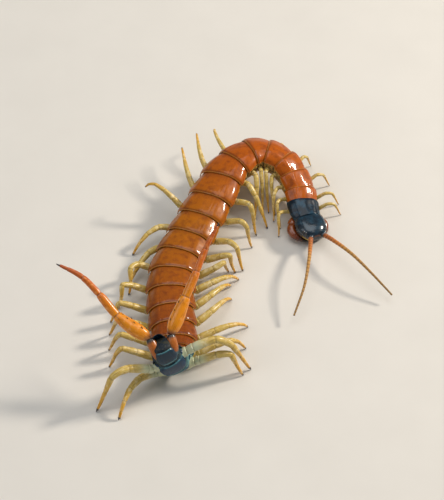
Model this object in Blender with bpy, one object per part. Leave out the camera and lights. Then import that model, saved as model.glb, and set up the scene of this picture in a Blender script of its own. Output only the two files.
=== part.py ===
"""A giant desert centipede, life size, in a threat pose.

The trunk of 21 leg bearing segments runs away from the viewer, bends round to the
right and comes back down to the floor with the head. The last three segments stand
up, and the long last pair of legs is held out over the back. Lengths in this file
are in millimetres and turn into metres when a mesh is made.
"""

import math

import bmesh
import bpy
import numpy as np

METRE = 0.001          # one millimetre in metres
GAP = 0.3              # clear space between two touching pieces

# The middle of the footprint, which becomes the origin
MIDDLE_X = 2.25
MIDDLE_Y = -10.22

# Way of the trunk's middle line, from the raised tail to the front of the head
ROUTE = (
    (-17.2, -52.4, 18.2),
    (-15.6, -52.2, 13.4),
    (-14.3, -50.4, 8.6),
    (-13.8, -46.2, 5.9),
    (-13.9, -40.0, 5.5),
    (-14.7, -31.5, 5.6),
    (-15.2, -22.5, 5.6),
    (-14.2, -13.0, 5.7),
    (-10.8, -3.4, 6.2),
    (-6.6, 5.6, 7.6),
    (-2.2, 14.6, 9.6),
    (2.6, 23.6, 11.4),
    (10.6, 29.0, 12.2),
    (18.6, 26.8, 10.9),
    (23.3, 19.6, 7.8),
    (25.2, 11.0, 5.6),
    (29.0, 0.4, 4.9),
)
ROUTE_STEPS = 60       # steps of the smooth line between two points of the route

# Length of each back plate, segment 1 behind the head to segment 21
PLATE_LENGTHS = (5.6, 4.4, 5.8, 5.2, 5.6, 5.2, 6.2, 7.2, 8.0, 7.4, 7.5,
                 7.5, 7.3, 7.3, 7.0, 6.3, 5.6, 4.8, 4.8, 5.2, 5.4)
SEGMENTS = len(PLATE_LENGTHS)
WALKING_PAIRS = 20
HEAD_LENGTH = 8.4

# Sizes along the trunk as (segment, size) stations
HALF_WIDTH = ((0, 4.5), (1, 4.9), (2, 5.0), (4, 5.6), (6, 6.7), (9, 7.5),
              (12, 7.4), (15, 6.9), (17, 6.4), (19, 5.3), (20, 4.3), (21, 3.2))
HALF_HEIGHT = ((0, 2.6), (1, 3.2), (3, 3.7), (6, 4.1), (10, 4.3), (14, 4.3),
               (17, 4.1), (19, 3.8), (20, 3.3), (21, 2.7))

# Lean of the back towards the outside of the bend, in degrees
LEAN = ((0, 4), (1, 12), (3, 22), (5, 20), (7, 14), (9, 9), (12, 3), (17, 3), (18, 8),
        (19, 15), (20, 14), (21, 2))
# The raised tail turns its back this way, in degrees from +X
TAIL_BACK = 103.0
# How far the back has turned from straight up, by distance from the tail's end
TAIL_TURN = ((0, 90), (6, 75), (18, 8), (22, 0))

# One half of the trunk's section, top to bottom: share of half width and of half
# height. The back plate overhangs the softer flank, and the belly plate is flat.
SECTION = ((0.30, 0.975), (0.58, 0.86), (0.80, 0.62), (0.94, 0.33), (1.00, 0.06),
           (0.93, -0.10), (0.84, -0.35), (0.78, -0.62), (0.62, -0.88), (0.32, -0.98))
PLATE_EDGE = 5         # points of the half section that lie on the back plate
# Along one segment, rear edge to front: share of its length, size of the plate
PLATE_PROFILE = ((0.0, 1.02), (0.18, 1.02), (0.58, 1.0), (0.96, 0.935))
BELLY_PROFILE = (0.95, 1.0, 1.0, 0.95)

# Walking legs as (pair, value) stations
LEG_LENGTH = ((1, 11.5), (5, 14.5), (10, 17.5), (15, 18.5), (18, 20), (19, 21.5), (20, 28.5))
LEG_RADIUS = ((1, 0.58), (3, 0.60), (6, 0.62), (8, 0.88), (12, 1.08), (18, 1.15), (20, 1.30))
# How steeply a leg leaves its hip, how far its shin bows, and how far the leg keeps to
# the hip's own way before it turns to its foot
RISE_RIGHT = ((1, 38), (12, 35), (18, 28), (19, 24), (20, 30))
RISE_LEFT = ((1, 38), (6, 36), (7, 10), (8, 25), (9, 18), (10, 42), (11, 35), (12, 35), (18, 28),
             (19, 24), (20, 30))
SHIN_RIGHT = ((1, 0.7), (18, 0.7), (19, 0.9), (20, 1.1))
SHIN_LEFT = ((1, 0.7), (6, 0.7), (7, 0.4), (10, 0.4), (11, 0.7), (18, 0.7), (19, 0.9), (20, 1.1))
LEAVE_RIGHT = ((1, 2.0), (20, 2.0))
LEAVE_LEFT = ((6, 2.0), (7, 4.0), (10, 4.0), (11, 2.0))
# Where each foot lies from its hip: bearing in degrees from +X, and distance
BEARING_RIGHT = ((1, -112), (2, -98), (3, -104), (4, -84), (5, -84), (6, -84), (7, -89),
                 (8, -55), (9, -46), (10, -30), (11, -42), (12, -10), (13, 29), (14, 30),
                 (15, 46), (16, 49), (17, 27), (18, 20), (19, 1), (20, 10))
REACH_RIGHT = ((1, 6.5), (3, 7.2), (6, 7.6), (7, 8.6), (8, 11.5), (9, 8.5), (10, 9.0), (11, 11.0),
               (12, 9.0), (13, 10.4), (14, 15.2), (16, 16.4), (17, 17.0), (19, 13.8), (20, 18.5))
BEARING_LEFT = ((1, 6), (2, 10), (3, 25), (4, 52), (5, 75), (6, 90), (7, 112), (8, 106),
                (9, 108), (10, 154), (11, 210), (12, 231), (13, 228), (14, 208), (15, 190),
                (16, 181), (17, 181), (18, 187), (19, 234), (20, 208))
REACH_LEFT = ((1, 7.5), (4, 8.5), (6, 10.5), (7, 13.4), (8, 15.3), (9, 15.9), (10, 13.8), (11, 14.6),
              (12, 16.0), (13, 10.8), (14, 10.4), (15, 11.5), (17, 13.0), (18, 13.5), (19, 18.4),
              (20, 18.3))
# Four left legs are in the air, in the middle of a step
LIFT_LEFT = ((6, 0.0), (7, 7.0), (8, 10.0), (9, 10.5), (10, 9.0), (11, 0.0))
# A hip's place along its segment, its distance out and below the middle line, as shares
HIP_PLACE = ((1, 0.28), (2, 0.45), (18, 0.45), (19, 0.50), (20, 0.45))
HIP_LOW = ((1, 0.50), (18, 0.50), (19, 0.62), (20, 0.05))
HIP_OUT = 0.80
HIP_DROOP = 0.08       # how far the stub points down, to one outwards
# Along a leg: share of its length, share of its radius, with a slight neck at each joint
LEG_PROFILE = ((0.0, 1.0), (0.07, 1.06), (0.27, 0.92), (0.34, 0.92), (0.50, 0.74),
               (0.56, 0.74), (0.72, 0.52), (0.87, 0.40), (0.95, 0.30))
LEG_SIDES = 7
FOOT_RADIUS = 0.27
COXA_OUT = ((1, 0.9), (10, 0.9), (12, 1.0), (14, 0.9), (18, 0.9), (19, 1.1), (20, 1.5))  # stub's length
COXA_SIZE = 1.12       # stub radius, as a share of the leg's
COXA_WAIST = 1.12      # thickest part of a stub, as a share of its end
COXA_ROOT = 0.8        # root of a stub, as a share of its end
COXA_DEEP = 2.6        # how far the stub's root is sunk in

# The last pair of legs: joints from the tail outwards
LAST_LEG_LEFT = ((-19.7, -51.3, 18.7), (-29.0, -46.6, 23.2), (-34.7, -42.0, 28.0),
                 (-39.8, -38.4, 31.6), (-46.8, -35.8, 34.0))
LAST_LEG_RIGHT = ((-14.9, -50.6, 19.2), (-10.2, -42.0, 27.0), (-7.2, -36.8, 31.6),
                  (-4.8, -31.8, 35.6), (-0.8, -26.0, 40.6))
LAST_LEG_RADII = (1.15, 1.7, 2.1, 1.75, 1.45, 1.15, 1.2, 0.9, 0.8, 0.55, 0.25)
LAST_LEG_SHARES = (0.0, 0.04, 0.11, 0.24, 0.31, 0.345, 0.52, 0.57, 0.74, 0.88, 1.0)
LAST_LEG_SIDES = 9
LAST_LEG_OUT = 0.9     # how far along its first piece a last leg begins
SPINE_LENGTH = 1.0
SPINE_RADIUS = 0.38
SPINE_SIDES = 5
SPINE_SHARES = (0.300, 0.525, 0.750)   # places of the spines along the first piece
SPINE_OUT = 1.75       # from the first piece's middle line
CORNER_SPINE_SHARE = 0.93
LAST_COXA_ALONG = 3.9  # root of a last leg's swollen base, from the tail's end
LAST_COXA_OUT = 2.2
LAST_COXA_LOW = 1.9
LAST_COXA_RADII = (1.1, 1.5, 1.4, 1.15)
LAST_COXA_SHARES = (0.0, 0.4, 0.75)
# End of the last back plate between the last legs: distance from the tail's end, half
# width, half height and distance of its middle towards the back
TAIL_TIP = ((1.0, 2.4, 1.3, 1.1), (-0.5, 1.45, 1.15, 1.2), (-1.8, 1.2, 0.85, 1.4), (-2.7, 0.75, 0.5, 1.5))
TAIL_TIP_SIDES = 10

# Head, feelers and poison claws
# Along the head: distance from the neck, half width, half height, drop of the middle
HEAD_PROFILE = ((GAP / 2, 3.6, 1.7, 0.0), (0.6, 4.1, 2.05, 0.0), (2.6, 4.5, 2.3, 0.1),
                (4.8, 4.2, 2.25, 0.15), (6.6, 3.3, 1.9, 0.2), (7.7, 2.3, 1.4, 0.3),
                (HEAD_LENGTH, 1.2, 0.8, 0.4))
HEAD_SIDES = 16
HEAD_SQUARENESS = 0.85  # power of the section's cosine and sine; 1 is a plain oval
EYE_RADIUS = 0.42
EYE_ALONG = 5.75       # rear eye from the neck
EYE_STEP = 0.95        # from the rear to the front eye
EYE_OUT = 3.62         # rear eye from the head's middle
EYE_SIDES = 6
FEELER_RADIUS = 0.72
FEELER_TIP_RADIUS = 0.27
FEELER_RINGS = 15
FEELER_SIDES = 6
FEELER_OUT = 1.75      # a feeler's root from the head's middle
# Way of each feeler from its root: distances forwards, outwards and up
FEELER_RIGHT = ((0.0, 0.0, 0.0), (4.2, 1.9, 1.1), (11.0, 5.2, 2.0), (18.5, 9.6, 0.8), (25.5, 15.5, -2.2))
FEELER_LEFT = ((0.0, 0.0, 0.0), (4.4, 1.7, 1.1), (12.0, 4.4, 2.0), (20.0, 7.4, 0.8), (28.0, 11.0, -2.2))
CLAW_RADIUS = 1.35
CLAW_SIDES = 8
CLAW_OUT = 4.05        # a poison claw's root from the middle of the first segment
CLAW_LOW = 2.0         # and below it
# Way of a poison claw from its root: distances forwards, outwards and up
CLAW_WAY = ((0.0, 0.0, 0.0), (2.0, 0.55, -0.35), (4.3, -0.55, -0.75), (5.9, -2.5, -0.8), (6.5, -4.25, -0.7))
CLAW_PROFILE = ((0.0, 1.0), (0.18, 1.08), (0.40, 0.92), (0.60, 0.62), (0.78, 0.40), (0.92, 0.22))

COLOURS = {
    "back": ((0.36, 0.10, 0.02), 0.32),
    "front": ((0.42, 0.085, 0.015), 0.32),
    "tail": ((0.02, 0.045, 0.06), 0.28),
    "leg": ((0.62, 0.42, 0.14), 0.42),
    "last_leg": ((0.68, 0.23, 0.02), 0.35),
    "head": ((0.02, 0.035, 0.05), 0.26),
    "feeler": ((0.60, 0.27, 0.06), 0.45),
    "claw": ((0.45, 0.12, 0.02), 0.28),
}


def unit(vector):
    return vector / np.linalg.norm(vector)


def station(table, place):
    """Value of a table of (place, value) pairs, in a straight line between pairs."""
    table = np.array(table, dtype=float)
    return float(np.interp(place, table[:, 0], table[:, 1]))


def smooth_line(points, steps):
    """Points on a smooth curve that runs through all the given points."""
    points = np.array(points, dtype=float)
    ends = np.vstack([2 * points[0] - points[1], points, 2 * points[-1] - points[-2]])
    share = np.linspace(0.0, 1.0, steps, endpoint=False)[:, None]
    parts = []
    for index in range(1, len(ends) - 2):
        a, b, c, d = ends[index - 1:index + 3]
        parts.append(0.5 * (2 * b + (c - a) * share + (2 * a - 5 * b + 4 * c - d) * share ** 2
                            + (3 * b - a - 3 * c + d) * share ** 3))
    parts.append(points[-1][None])
    return np.vstack(parts)


def lengths_along(points):
    """Distance of each point from the first, along the line."""
    steps = np.linalg.norm(np.diff(points, axis=0), axis=1)
    return np.concatenate([[0.0], np.cumsum(steps)])


class Trunk:
    """The trunk's middle line with the directions of its back and its right side."""

    def __init__(self):
        line = smooth_line(ROUTE, ROUTE_STEPS)
        self.along = lengths_along(line)
        self.line = line
        forward = np.gradient(line, self.along, axis=0)
        self.forward = forward / np.linalg.norm(forward, axis=1)[:, None]
        turn_table = np.array(TAIL_TURN, dtype=float)
        turn = np.radians(np.interp(self.along, turn_table[:, 0], turn_table[:, 1]))
        back_way = np.array([math.cos(math.radians(TAIL_BACK)), math.sin(math.radians(TAIL_BACK)), 0.0])
        wanted = np.outer(np.cos(turn), [0.0, 0.0, 1.0]) + np.outer(np.sin(turn), back_way)
        self.back = wanted - self.forward * np.sum(wanted * self.forward, axis=1)[:, None]
        # Distance of the rear edge of each segment from the tail's end; entry 0 is the neck
        lengths = np.array(PLATE_LENGTHS[::-1])
        self.rear = np.concatenate([[0.0], np.cumsum(lengths)])[::-1]

    def segment_at(self, along):
        """Segment number as a real number: 21 at the tail's end, 0 at the neck."""
        return float(np.interp(along, self.rear[::-1], np.arange(SEGMENTS, -1, -1)))

    def frame(self, along):
        """Point, forward, right and back directions at a distance from the tail's end.
        Past either end the line goes straight on."""
        point = np.array([np.interp(along, self.along, self.line[:, i]) for i in range(3)])
        forward = unit(np.array([np.interp(along, self.along, self.forward[:, i]) for i in range(3)]))
        point = point + forward * (along - min(max(along, 0.0), self.along[-1]))
        back = np.array([np.interp(along, self.along, self.back[:, i]) for i in range(3)])
        back = unit(back - forward * (back @ forward))
        right = np.cross(forward, back)
        lean = math.radians(station(LEAN, self.segment_at(along)))
        leaned_back = back * math.cos(lean) - right * math.sin(lean)
        leaned_right = right * math.cos(lean) + back * math.sin(lean)
        return point, forward, leaned_right, leaned_back


TRUNK = Trunk()


def make_material(name):
    (red, green, blue), roughness = COLOURS[name]
    material = bpy.data.materials.new(name)
    material.use_nodes = True
    shader = material.node_tree.nodes["Principled BSDF"]
    shader.inputs["Base Color"].default_value = (red, green, blue, 1.0)
    shader.inputs["Roughness"].default_value = roughness
    shader.inputs["Metallic"].default_value = 0.0
    return material


def mesh_object(name, points, faces, material):
    """A new object from points in millimetres."""
    shifted = (np.asarray(points, dtype=float) - [MIDDLE_X, MIDDLE_Y, 0.0]) * METRE
    mesh = bpy.data.meshes.new(name)
    mesh.from_pydata(shifted.tolist(), [], faces)
    work = bmesh.new()
    work.from_mesh(mesh)
    bmesh.ops.recalc_face_normals(work, faces=work.faces)
    bmesh.ops.triangulate(work, faces=work.faces, quad_method="SHORT_EDGE")
    work.to_mesh(mesh)
    work.free()
    if material is not None:
        mesh.materials.append(material)
    thing = bpy.data.objects.new(name, mesh)
    bpy.context.scene.collection.objects.link(thing)
    return thing


def loft(name, rings, material, pole=None):
    """A closed skin over rings of equal count, with flat ends or a pole at the last end."""
    count = len(rings[0])
    points = np.vstack(rings)
    faces = []
    for ring in range(len(rings) - 1):
        low = ring * count
        for side in range(count):
            after = (side + 1) % count
            faces.append((low + side, low + after, low + count + after, low + count + side))
    faces.append(tuple(range(count - 1, -1, -1)))
    last = (len(rings) - 1) * count
    if pole is None:
        faces.append(tuple(range(last, last + count)))
    else:
        points = np.vstack([points, pole])
        for side in range(count):
            faces.append((last + side, last + (side + 1) % count, len(points) - 1))
    return mesh_object(name, points, faces, material)


def keep_largest(thing):
    """Drop every closed surface of a mesh but the largest."""
    work = bmesh.new()
    work.from_mesh(thing.data)
    left = set(work.faces)
    groups = []
    while left:
        start = left.pop()
        group = {start}
        edge_of_group = [start]
        while edge_of_group:
            face = edge_of_group.pop()
            for edge in face.edges:
                for other in edge.link_faces:
                    if other in left:
                        left.remove(other)
                        group.add(other)
                        edge_of_group.append(other)
        groups.append(group)
    groups.sort(key=lambda group: sum(face.calc_area() for face in group))
    loose = [face for group in groups[:-1] for face in group]
    bmesh.ops.delete(work, geom=loose, context="FACES")
    bmesh.ops.triangulate(work, faces=work.faces)
    work.to_mesh(thing.data)
    work.free()


def fuse(thing, extras):
    """Join closed pieces to an object by one Boolean union, applied."""
    group = bpy.data.collections.new(thing.name + "_extras")
    bpy.context.scene.collection.children.link(group)
    for extra in extras:
        bpy.context.scene.collection.objects.unlink(extra)
        group.objects.link(extra)
    union = thing.modifiers.new("union", "BOOLEAN")
    union.operation = "UNION"
    union.operand_type = "COLLECTION"
    union.collection = group
    union.solver = "EXACT"
    bpy.context.view_layer.update()
    evaluated = thing.evaluated_get(bpy.context.evaluated_depsgraph_get())
    mesh = bpy.data.meshes.new_from_object(evaluated)
    thing.modifiers.clear()
    thing.data = mesh
    mesh.name = thing.name
    for extra in extras:
        bpy.data.objects.remove(extra)
    bpy.data.collections.remove(group)
    keep_largest(thing)


def shade(thing):
    thing.data.shade_smooth()
    thing.data.set_sharp_from_angle(angle=math.radians(35))


def round_ring(centre, axis, across, radius, sides):
    """A ring of points round an axis; across sets where the first point lies."""
    axis = unit(axis)
    across = unit(across - axis * (across @ axis))
    third = np.cross(axis, across)
    turns = np.arange(sides) * 2 * math.pi / sides
    return centre + radius * (np.outer(np.cos(turns), across) + np.outer(np.sin(turns), third))


def tube_rings(line, shares, radii, across, sides, first_axis=None):
    """Rings along a line at shares of its length."""
    along = lengths_along(line)
    directions = np.gradient(line, along, axis=0)
    rings = []
    for share, radius in zip(shares, radii):
        place = share * along[-1]
        centre = np.array([np.interp(place, along, line[:, i]) for i in range(3)])
        axis = np.array([np.interp(place, along, directions[:, i]) for i in range(3)])
        if first_axis is not None and not rings:
            axis = first_axis
        rings.append(round_ring(centre, axis, across, radius, sides))
    return rings


def trunk_ring(along, plane_along, plate, belly):
    """The trunk's section at a distance along it, set square to the line at plane_along."""
    segment = TRUNK.segment_at(along)
    centre, forward, right, back = TRUNK.frame(plane_along)
    centre = centre + forward * (along - plane_along)
    width = station(HALF_WIDTH, segment)
    height = station(HALF_HEIGHT, segment)
    sizes = [plate] * PLATE_EDGE + [belly] * (len(SECTION) - PLATE_EDGE)
    half = [(across * size * width, up * size * height) for (across, up), size in zip(SECTION, sizes)]
    outline = [(0.0, plate * height)] + half + [(0.0, -belly * height)]
    outline += [(-across, up) for across, up in reversed(half)]
    return np.array([centre + right * across + back * up for across, up in outline])


def trunk_rings(first, last):
    """Rings over the segments first to last, from the rear one's rear edge forwards."""
    rings = []
    rear_end = TRUNK.rear[last]
    front_end = TRUNK.rear[first - 1]
    for segment in range(last, first - 1, -1):
        start = TRUNK.rear[segment]
        length = PLATE_LENGTHS[segment - 1]
        for (share, plate), belly in zip(PLATE_PROFILE, BELLY_PROFILE):
            along = start + share * length
            plane = along
            if segment == last and share == 0.0 and last < SEGMENTS:
                along = rear_end + GAP / 2
                plane = rear_end
            if segment == first and share == PLATE_PROFILE[-1][0]:
                along = front_end - GAP / 2
                plane = front_end
            rings.append(trunk_ring(along, plane, plate, belly))
    return rings


def hip(pair, side):
    """Where a walking leg's stub ends, and the way it points. Side is 1 on the right."""
    place = station(HIP_PLACE, pair)
    along = TRUNK.rear[pair] + place * PLATE_LENGTHS[pair - 1]
    segment = pair - place
    centre, forward, right, back = TRUNK.frame(along)
    way = unit(side * right - HIP_DROOP * back)
    root = centre + right * side * station(HALF_WIDTH, segment) * HIP_OUT
    root = root - back * station(HALF_HEIGHT, segment) * station(HIP_LOW, pair)
    return root + way * station(COXA_OUT, pair), way, forward


def leg_line(pair, side):
    """Smooth way of a leg from its hip up over the knee and down to its foot."""
    start, way, _ = hip(pair, side)
    start = start + way * GAP
    bearing = math.radians(station(BEARING_RIGHT if side > 0 else BEARING_LEFT, pair))
    reach = station(REACH_RIGHT if side > 0 else REACH_LEFT, pair)
    rise = math.radians(station(RISE_RIGHT if side > 0 else RISE_LEFT, pair))
    shin_share = station(SHIN_RIGHT if side > 0 else SHIN_LEFT, pair)
    straight = station(LEAVE_RIGHT if side > 0 else LEAVE_LEFT, pair)
    outward = np.array([math.cos(bearing), math.sin(bearing), 0.0])
    foot = start + reach * outward
    foot[2] = station(LIFT_LEFT, pair) if side < 0 else 0.0
    leave = unit(straight * unit(way * [1.0, 1.0, 0.0]) + outward)
    up = np.array([0.0, 0.0, 1.0])
    wanted = station(LEG_LENGTH, pair)
    share = np.linspace(0.0, 1.0, 60)[:, None]
    short = 1.0
    long = 25.0
    for _ in range(30):
        pull = (short + long) / 2
        knee = start + pull * (leave * math.cos(rise) + up * math.sin(rise))
        shin = foot + shin_share * pull * (0.9 * up - 0.42 * outward)
        line = ((1 - share) ** 3 * start + 3 * (1 - share) ** 2 * share * knee
                + 3 * (1 - share) * share ** 2 * shin + share ** 3 * foot)
        if lengths_along(line)[-1] > wanted:
            long = pull
        else:
            short = pull
    return line, outward, way


def build_leg(pair, side, material):
    line, outward, way = leg_line(pair, side)
    radius = station(LEG_RADIUS, pair)
    across = np.cross(outward, [0.0, 0.0, 1.0])
    shares = [share for share, _ in LEG_PROFILE]
    radii = [size * radius for _, size in LEG_PROFILE]
    rings = tube_rings(line, shares, radii, across, LEG_SIDES, first_axis=way)
    down = np.array([0.0, 0.0, -1.0])
    rings.append(round_ring(line[-1], down, across, FOOT_RADIUS, LEG_SIDES))
    name = "leg_%02d_%s" % (pair, "r" if side > 0 else "l")
    shade(loft(name, rings, material))


def coxa_stub(pair, side):
    """The short stub on the flank that a walking leg grows from."""
    end, way, forward = hip(pair, side)
    radius = station(LEG_RADIUS, pair) * COXA_SIZE
    out = station(COXA_OUT, pair)
    rings = [round_ring(end - way * (out + COXA_DEEP), way, forward, radius * COXA_ROOT, LEG_SIDES),
             round_ring(end - way * out * 0.6, way, forward, radius * COXA_WAIST, LEG_SIDES),
             round_ring(end, way, forward, radius, LEG_SIDES)]
    return loft("stub", rings, None)


def last_leg_start(side):
    joints = np.array(LAST_LEG_RIGHT if side > 0 else LAST_LEG_LEFT)
    way = unit(joints[1] - joints[0])
    joints[0] += way * LAST_LEG_OUT
    return joints, way


def last_coxa(side):
    """The swollen base on the tail that carries a last leg."""
    joints, way = last_leg_start(side)
    centre, forward, right, back = TRUNK.frame(LAST_COXA_ALONG)
    root = centre + right * side * LAST_COXA_OUT - back * LAST_COXA_LOW
    end = joints[0] - way * GAP
    line = smooth_line((root, (root + end) / 2 - back * 0.25 - forward * 0.35, end), 8)
    rings = tube_rings(line, LAST_COXA_SHARES, LAST_COXA_RADII[:-1], right, LAST_LEG_SIDES)
    rings.append(round_ring(end, way, right, LAST_COXA_RADII[-1], LAST_LEG_SIDES))
    return loft("last_coxa", rings, None)


def tail_tip():
    """The narrow end of the last back plate, which stands between the last legs."""
    rings = []
    turns = np.arange(TAIL_TIP_SIDES) * 2 * math.pi / TAIL_TIP_SIDES
    for along, width, height, middle in TAIL_TIP:
        centre, _, right, back = TRUNK.frame(along)
        rings.append(centre + back * middle + np.outer(np.cos(turns), right * width)
                     + np.outer(np.sin(turns), back * height))
    return loft("tail_tip", rings, None)


def spine(root, way, radius, length):
    """A small pointed spine."""
    side = np.array([0.0, 0.0, 1.0]) if abs(way[2]) < 0.9 else np.array([1.0, 0.0, 0.0])
    rings = [round_ring(root - way * length * 0.6, way, side, radius, SPINE_SIDES),
             round_ring(root + way * length * 0.35, way, side, radius * 0.72, SPINE_SIDES)]
    return loft("spine", rings, None, pole=root + way * length)


def build_last_leg(side, material):
    """A last leg with its row of spines on the thick first piece."""
    joints, way = last_leg_start(side)
    line = smooth_line(joints, 12)
    _, _, right, _ = TRUNK.frame(1.0)
    rings = tube_rings(line, LAST_LEG_SHARES[:-1], LAST_LEG_RADII[:-1], right, LAST_LEG_SIDES,
                       first_axis=way)
    name = "leg_21_%s" % ("r" if side > 0 else "l")
    thing = loft(name, rings, material, pole=line[-1])
    inward = unit(-side * right - way * (-side * right @ way))
    span = joints[1] - joints[0]
    spines = []
    for share in SPINE_SHARES:
        root = joints[0] + span * share + inward * SPINE_OUT
        spines.append(spine(root, unit(inward + 0.9 * way), SPINE_RADIUS, SPINE_LENGTH))
    corner = joints[0] + span * CORNER_SPINE_SHARE + inward * 1.2 + unit(np.cross(way, inward)) * side * 0.7
    spines.append(spine(corner, unit(inward * 0.7 + way), SPINE_RADIUS * 1.2, SPINE_LENGTH * 1.1))
    fuse(thing, spines)
    shade(thing)


def claw_root(side):
    """Where a poison claw leaves the first segment, its way, and the frame there."""
    along = TRUNK.rear[0] - 1.0
    centre, forward, right, back = TRUNK.frame(along)
    way = unit(0.50 * side * right + 0.72 * forward - 0.28 * back)
    end = centre + right * side * CLAW_OUT - back * CLAW_LOW + way * 1.2
    return end, way, forward, right, back


def claw_stub(side):
    end, way, forward, _, back = claw_root(side)
    rings = [round_ring(end - way * 3.2, way, back, CLAW_RADIUS * 0.8, LEG_SIDES),
             round_ring(end - way * 0.6, way, back, CLAW_RADIUS * 1.1, LEG_SIDES),
             round_ring(end, way, back, CLAW_RADIUS, LEG_SIDES)]
    return loft("claw_stub", rings, None)


def build_claw(side, material):
    """A poison claw: stout at the side of the head, curved in to a point below its front."""
    end, way, forward, right, back = claw_root(side)
    start = end + way * GAP
    points = [start + forward * ahead + right * side * out + back * up for ahead, out, up in CLAW_WAY]
    line = smooth_line(points, 8)
    shares = [share for share, _ in CLAW_PROFILE]
    radii = [CLAW_RADIUS * size for _, size in CLAW_PROFILE]
    rings = tube_rings(line, shares, radii, back, CLAW_SIDES, first_axis=way)
    name = "forcipule_%s" % ("r" if side > 0 else "l")
    shade(loft(name, rings, material, pole=line[-1]))


def head_ring(along, width, height, drop):
    centre, forward, right, back = TRUNK.frame(along)
    turns = np.arange(HEAD_SIDES) * 2 * math.pi / HEAD_SIDES
    across = np.sign(np.cos(turns)) * np.abs(np.cos(turns)) ** HEAD_SQUARENESS * width
    up = np.sign(np.sin(turns)) * np.abs(np.sin(turns)) ** HEAD_SQUARENESS * height - drop
    return centre + np.outer(across, right) + np.outer(up, back)


def feeler_root(side):
    along = TRUNK.rear[0] + HEAD_LENGTH * 0.90
    centre, forward, right, back = TRUNK.frame(along)
    way = unit(0.80 * forward + 0.55 * side * right + 0.25 * back)
    return centre + right * side * FEELER_OUT + back * 0.35 + way * 0.9, way, forward, right, back


def build_head(material):
    """The flat rounded head with four small eyes on each side and two feeler sockets."""
    neck = TRUNK.rear[0]
    rings = [head_ring(neck + along, width, height, drop) for along, width, height, drop in HEAD_PROFILE]
    head = loft("head", rings, material)
    extras = []
    for side in (1, -1):
        end, way, forward, _, back = feeler_root(side)
        socket = [round_ring(end - way * 2.4, way, back, FEELER_RADIUS, FEELER_SIDES),
                  round_ring(end - way * 0.3, way, back, FEELER_RADIUS * 1.25, FEELER_SIDES),
                  round_ring(end, way, back, FEELER_RADIUS * 1.1, FEELER_SIDES)]
        extras.append(loft("socket", socket, None))
        for row in range(2):
            for step in range(2):
                along = neck + EYE_ALONG + EYE_STEP * step
                centre, forward, right, back = TRUNK.frame(along)
                width = EYE_OUT - 0.52 * step
                place = centre + right * side * (width - 0.25 * row) + back * (0.15 + 0.75 * row)
                outward = unit(right * side + back * 0.5 * row + forward * 0.25)
                ball = [round_ring(place - outward * 0.5, outward, back, EYE_RADIUS, EYE_SIDES),
                        round_ring(place, outward, back, EYE_RADIUS * 0.9, EYE_SIDES)]
                extras.append(loft("eye", ball, None, pole=place + outward * EYE_RADIUS * 0.6))
    fuse(head, extras)
    shade(head)


def build_feeler(side, material):
    """A feeler: a slim tapered line that leaves the head forwards and curls gently out."""
    end, way, forward, right, back = feeler_root(side)
    start = end + way * GAP
    flat_forward = unit(forward * [1.0, 1.0, 0.0])
    flat_right = unit(right * [1.0, 1.0, 0.0])
    up = np.array([0.0, 0.0, 1.0])
    points = [start + flat_forward * ahead + flat_right * side * out + up * rise
              for ahead, out, rise in (FEELER_RIGHT if side > 0 else FEELER_LEFT)]
    line = smooth_line(points, 12)
    shares = np.linspace(0.0, 1.0, FEELER_RINGS)[:-1]
    radii = FEELER_RADIUS + (FEELER_TIP_RADIUS - FEELER_RADIUS) * shares ** 0.8
    rings = tube_rings(line, shares, radii, up, FEELER_SIDES, first_axis=way)
    name = "antenna_%s" % ("r" if side > 0 else "l")
    shade(loft(name, rings, material, pole=line[-1]))


def build_trunk_piece(first, last, material):
    """One length of the trunk with the stubs of its legs."""
    name = "trunk_%02d" % first if first == last else "trunk_%02d_%02d" % (first, last)
    thing = loft(name, trunk_rings(first, last), material)
    extras = []
    for segment in range(first, last + 1):
        for side in (1, -1):
            if segment <= WALKING_PAIRS:
                extras.append(coxa_stub(segment, side))
            else:
                extras.append(last_coxa(side))
            if segment == 1:
                extras.append(claw_stub(side))
    if last == SEGMENTS:
        extras.append(tail_tip())
    fuse(thing, extras)
    shade(thing)


def build_centipede():
    for thing in list(bpy.data.objects):
        bpy.data.objects.remove(thing)
    materials = {name: make_material(name) for name in COLOURS}
    pieces = [(1, 1)] + [(first, first + 1) for first in range(2, 19, 2)] + [(20, 20), (21, 21)]
    for first, last in pieces:
        kind = "head" if last == 1 else "tail" if first >= 20 else "front" if first < 8 else "back"
        build_trunk_piece(first, last, materials[kind])
    build_head(materials["head"])
    for side in (1, -1):
        for pair in range(1, WALKING_PAIRS + 1):
            build_leg(pair, side, materials["leg"])
        build_last_leg(side, materials["last_leg"])
        build_claw(side, materials["claw"])
        build_feeler(side, materials["feeler"])


build_centipede()
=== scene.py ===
"""Dresses the giant centipede: plates, soft skin, legs, tail, head, floor, light and camera.

Lengths are in millimetres until a mesh is made. Every shape is worked out with whole
arrays: a profile is carried along the trunk's or a leg's line, and the points of all
rings are computed at once.
"""

import math

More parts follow.
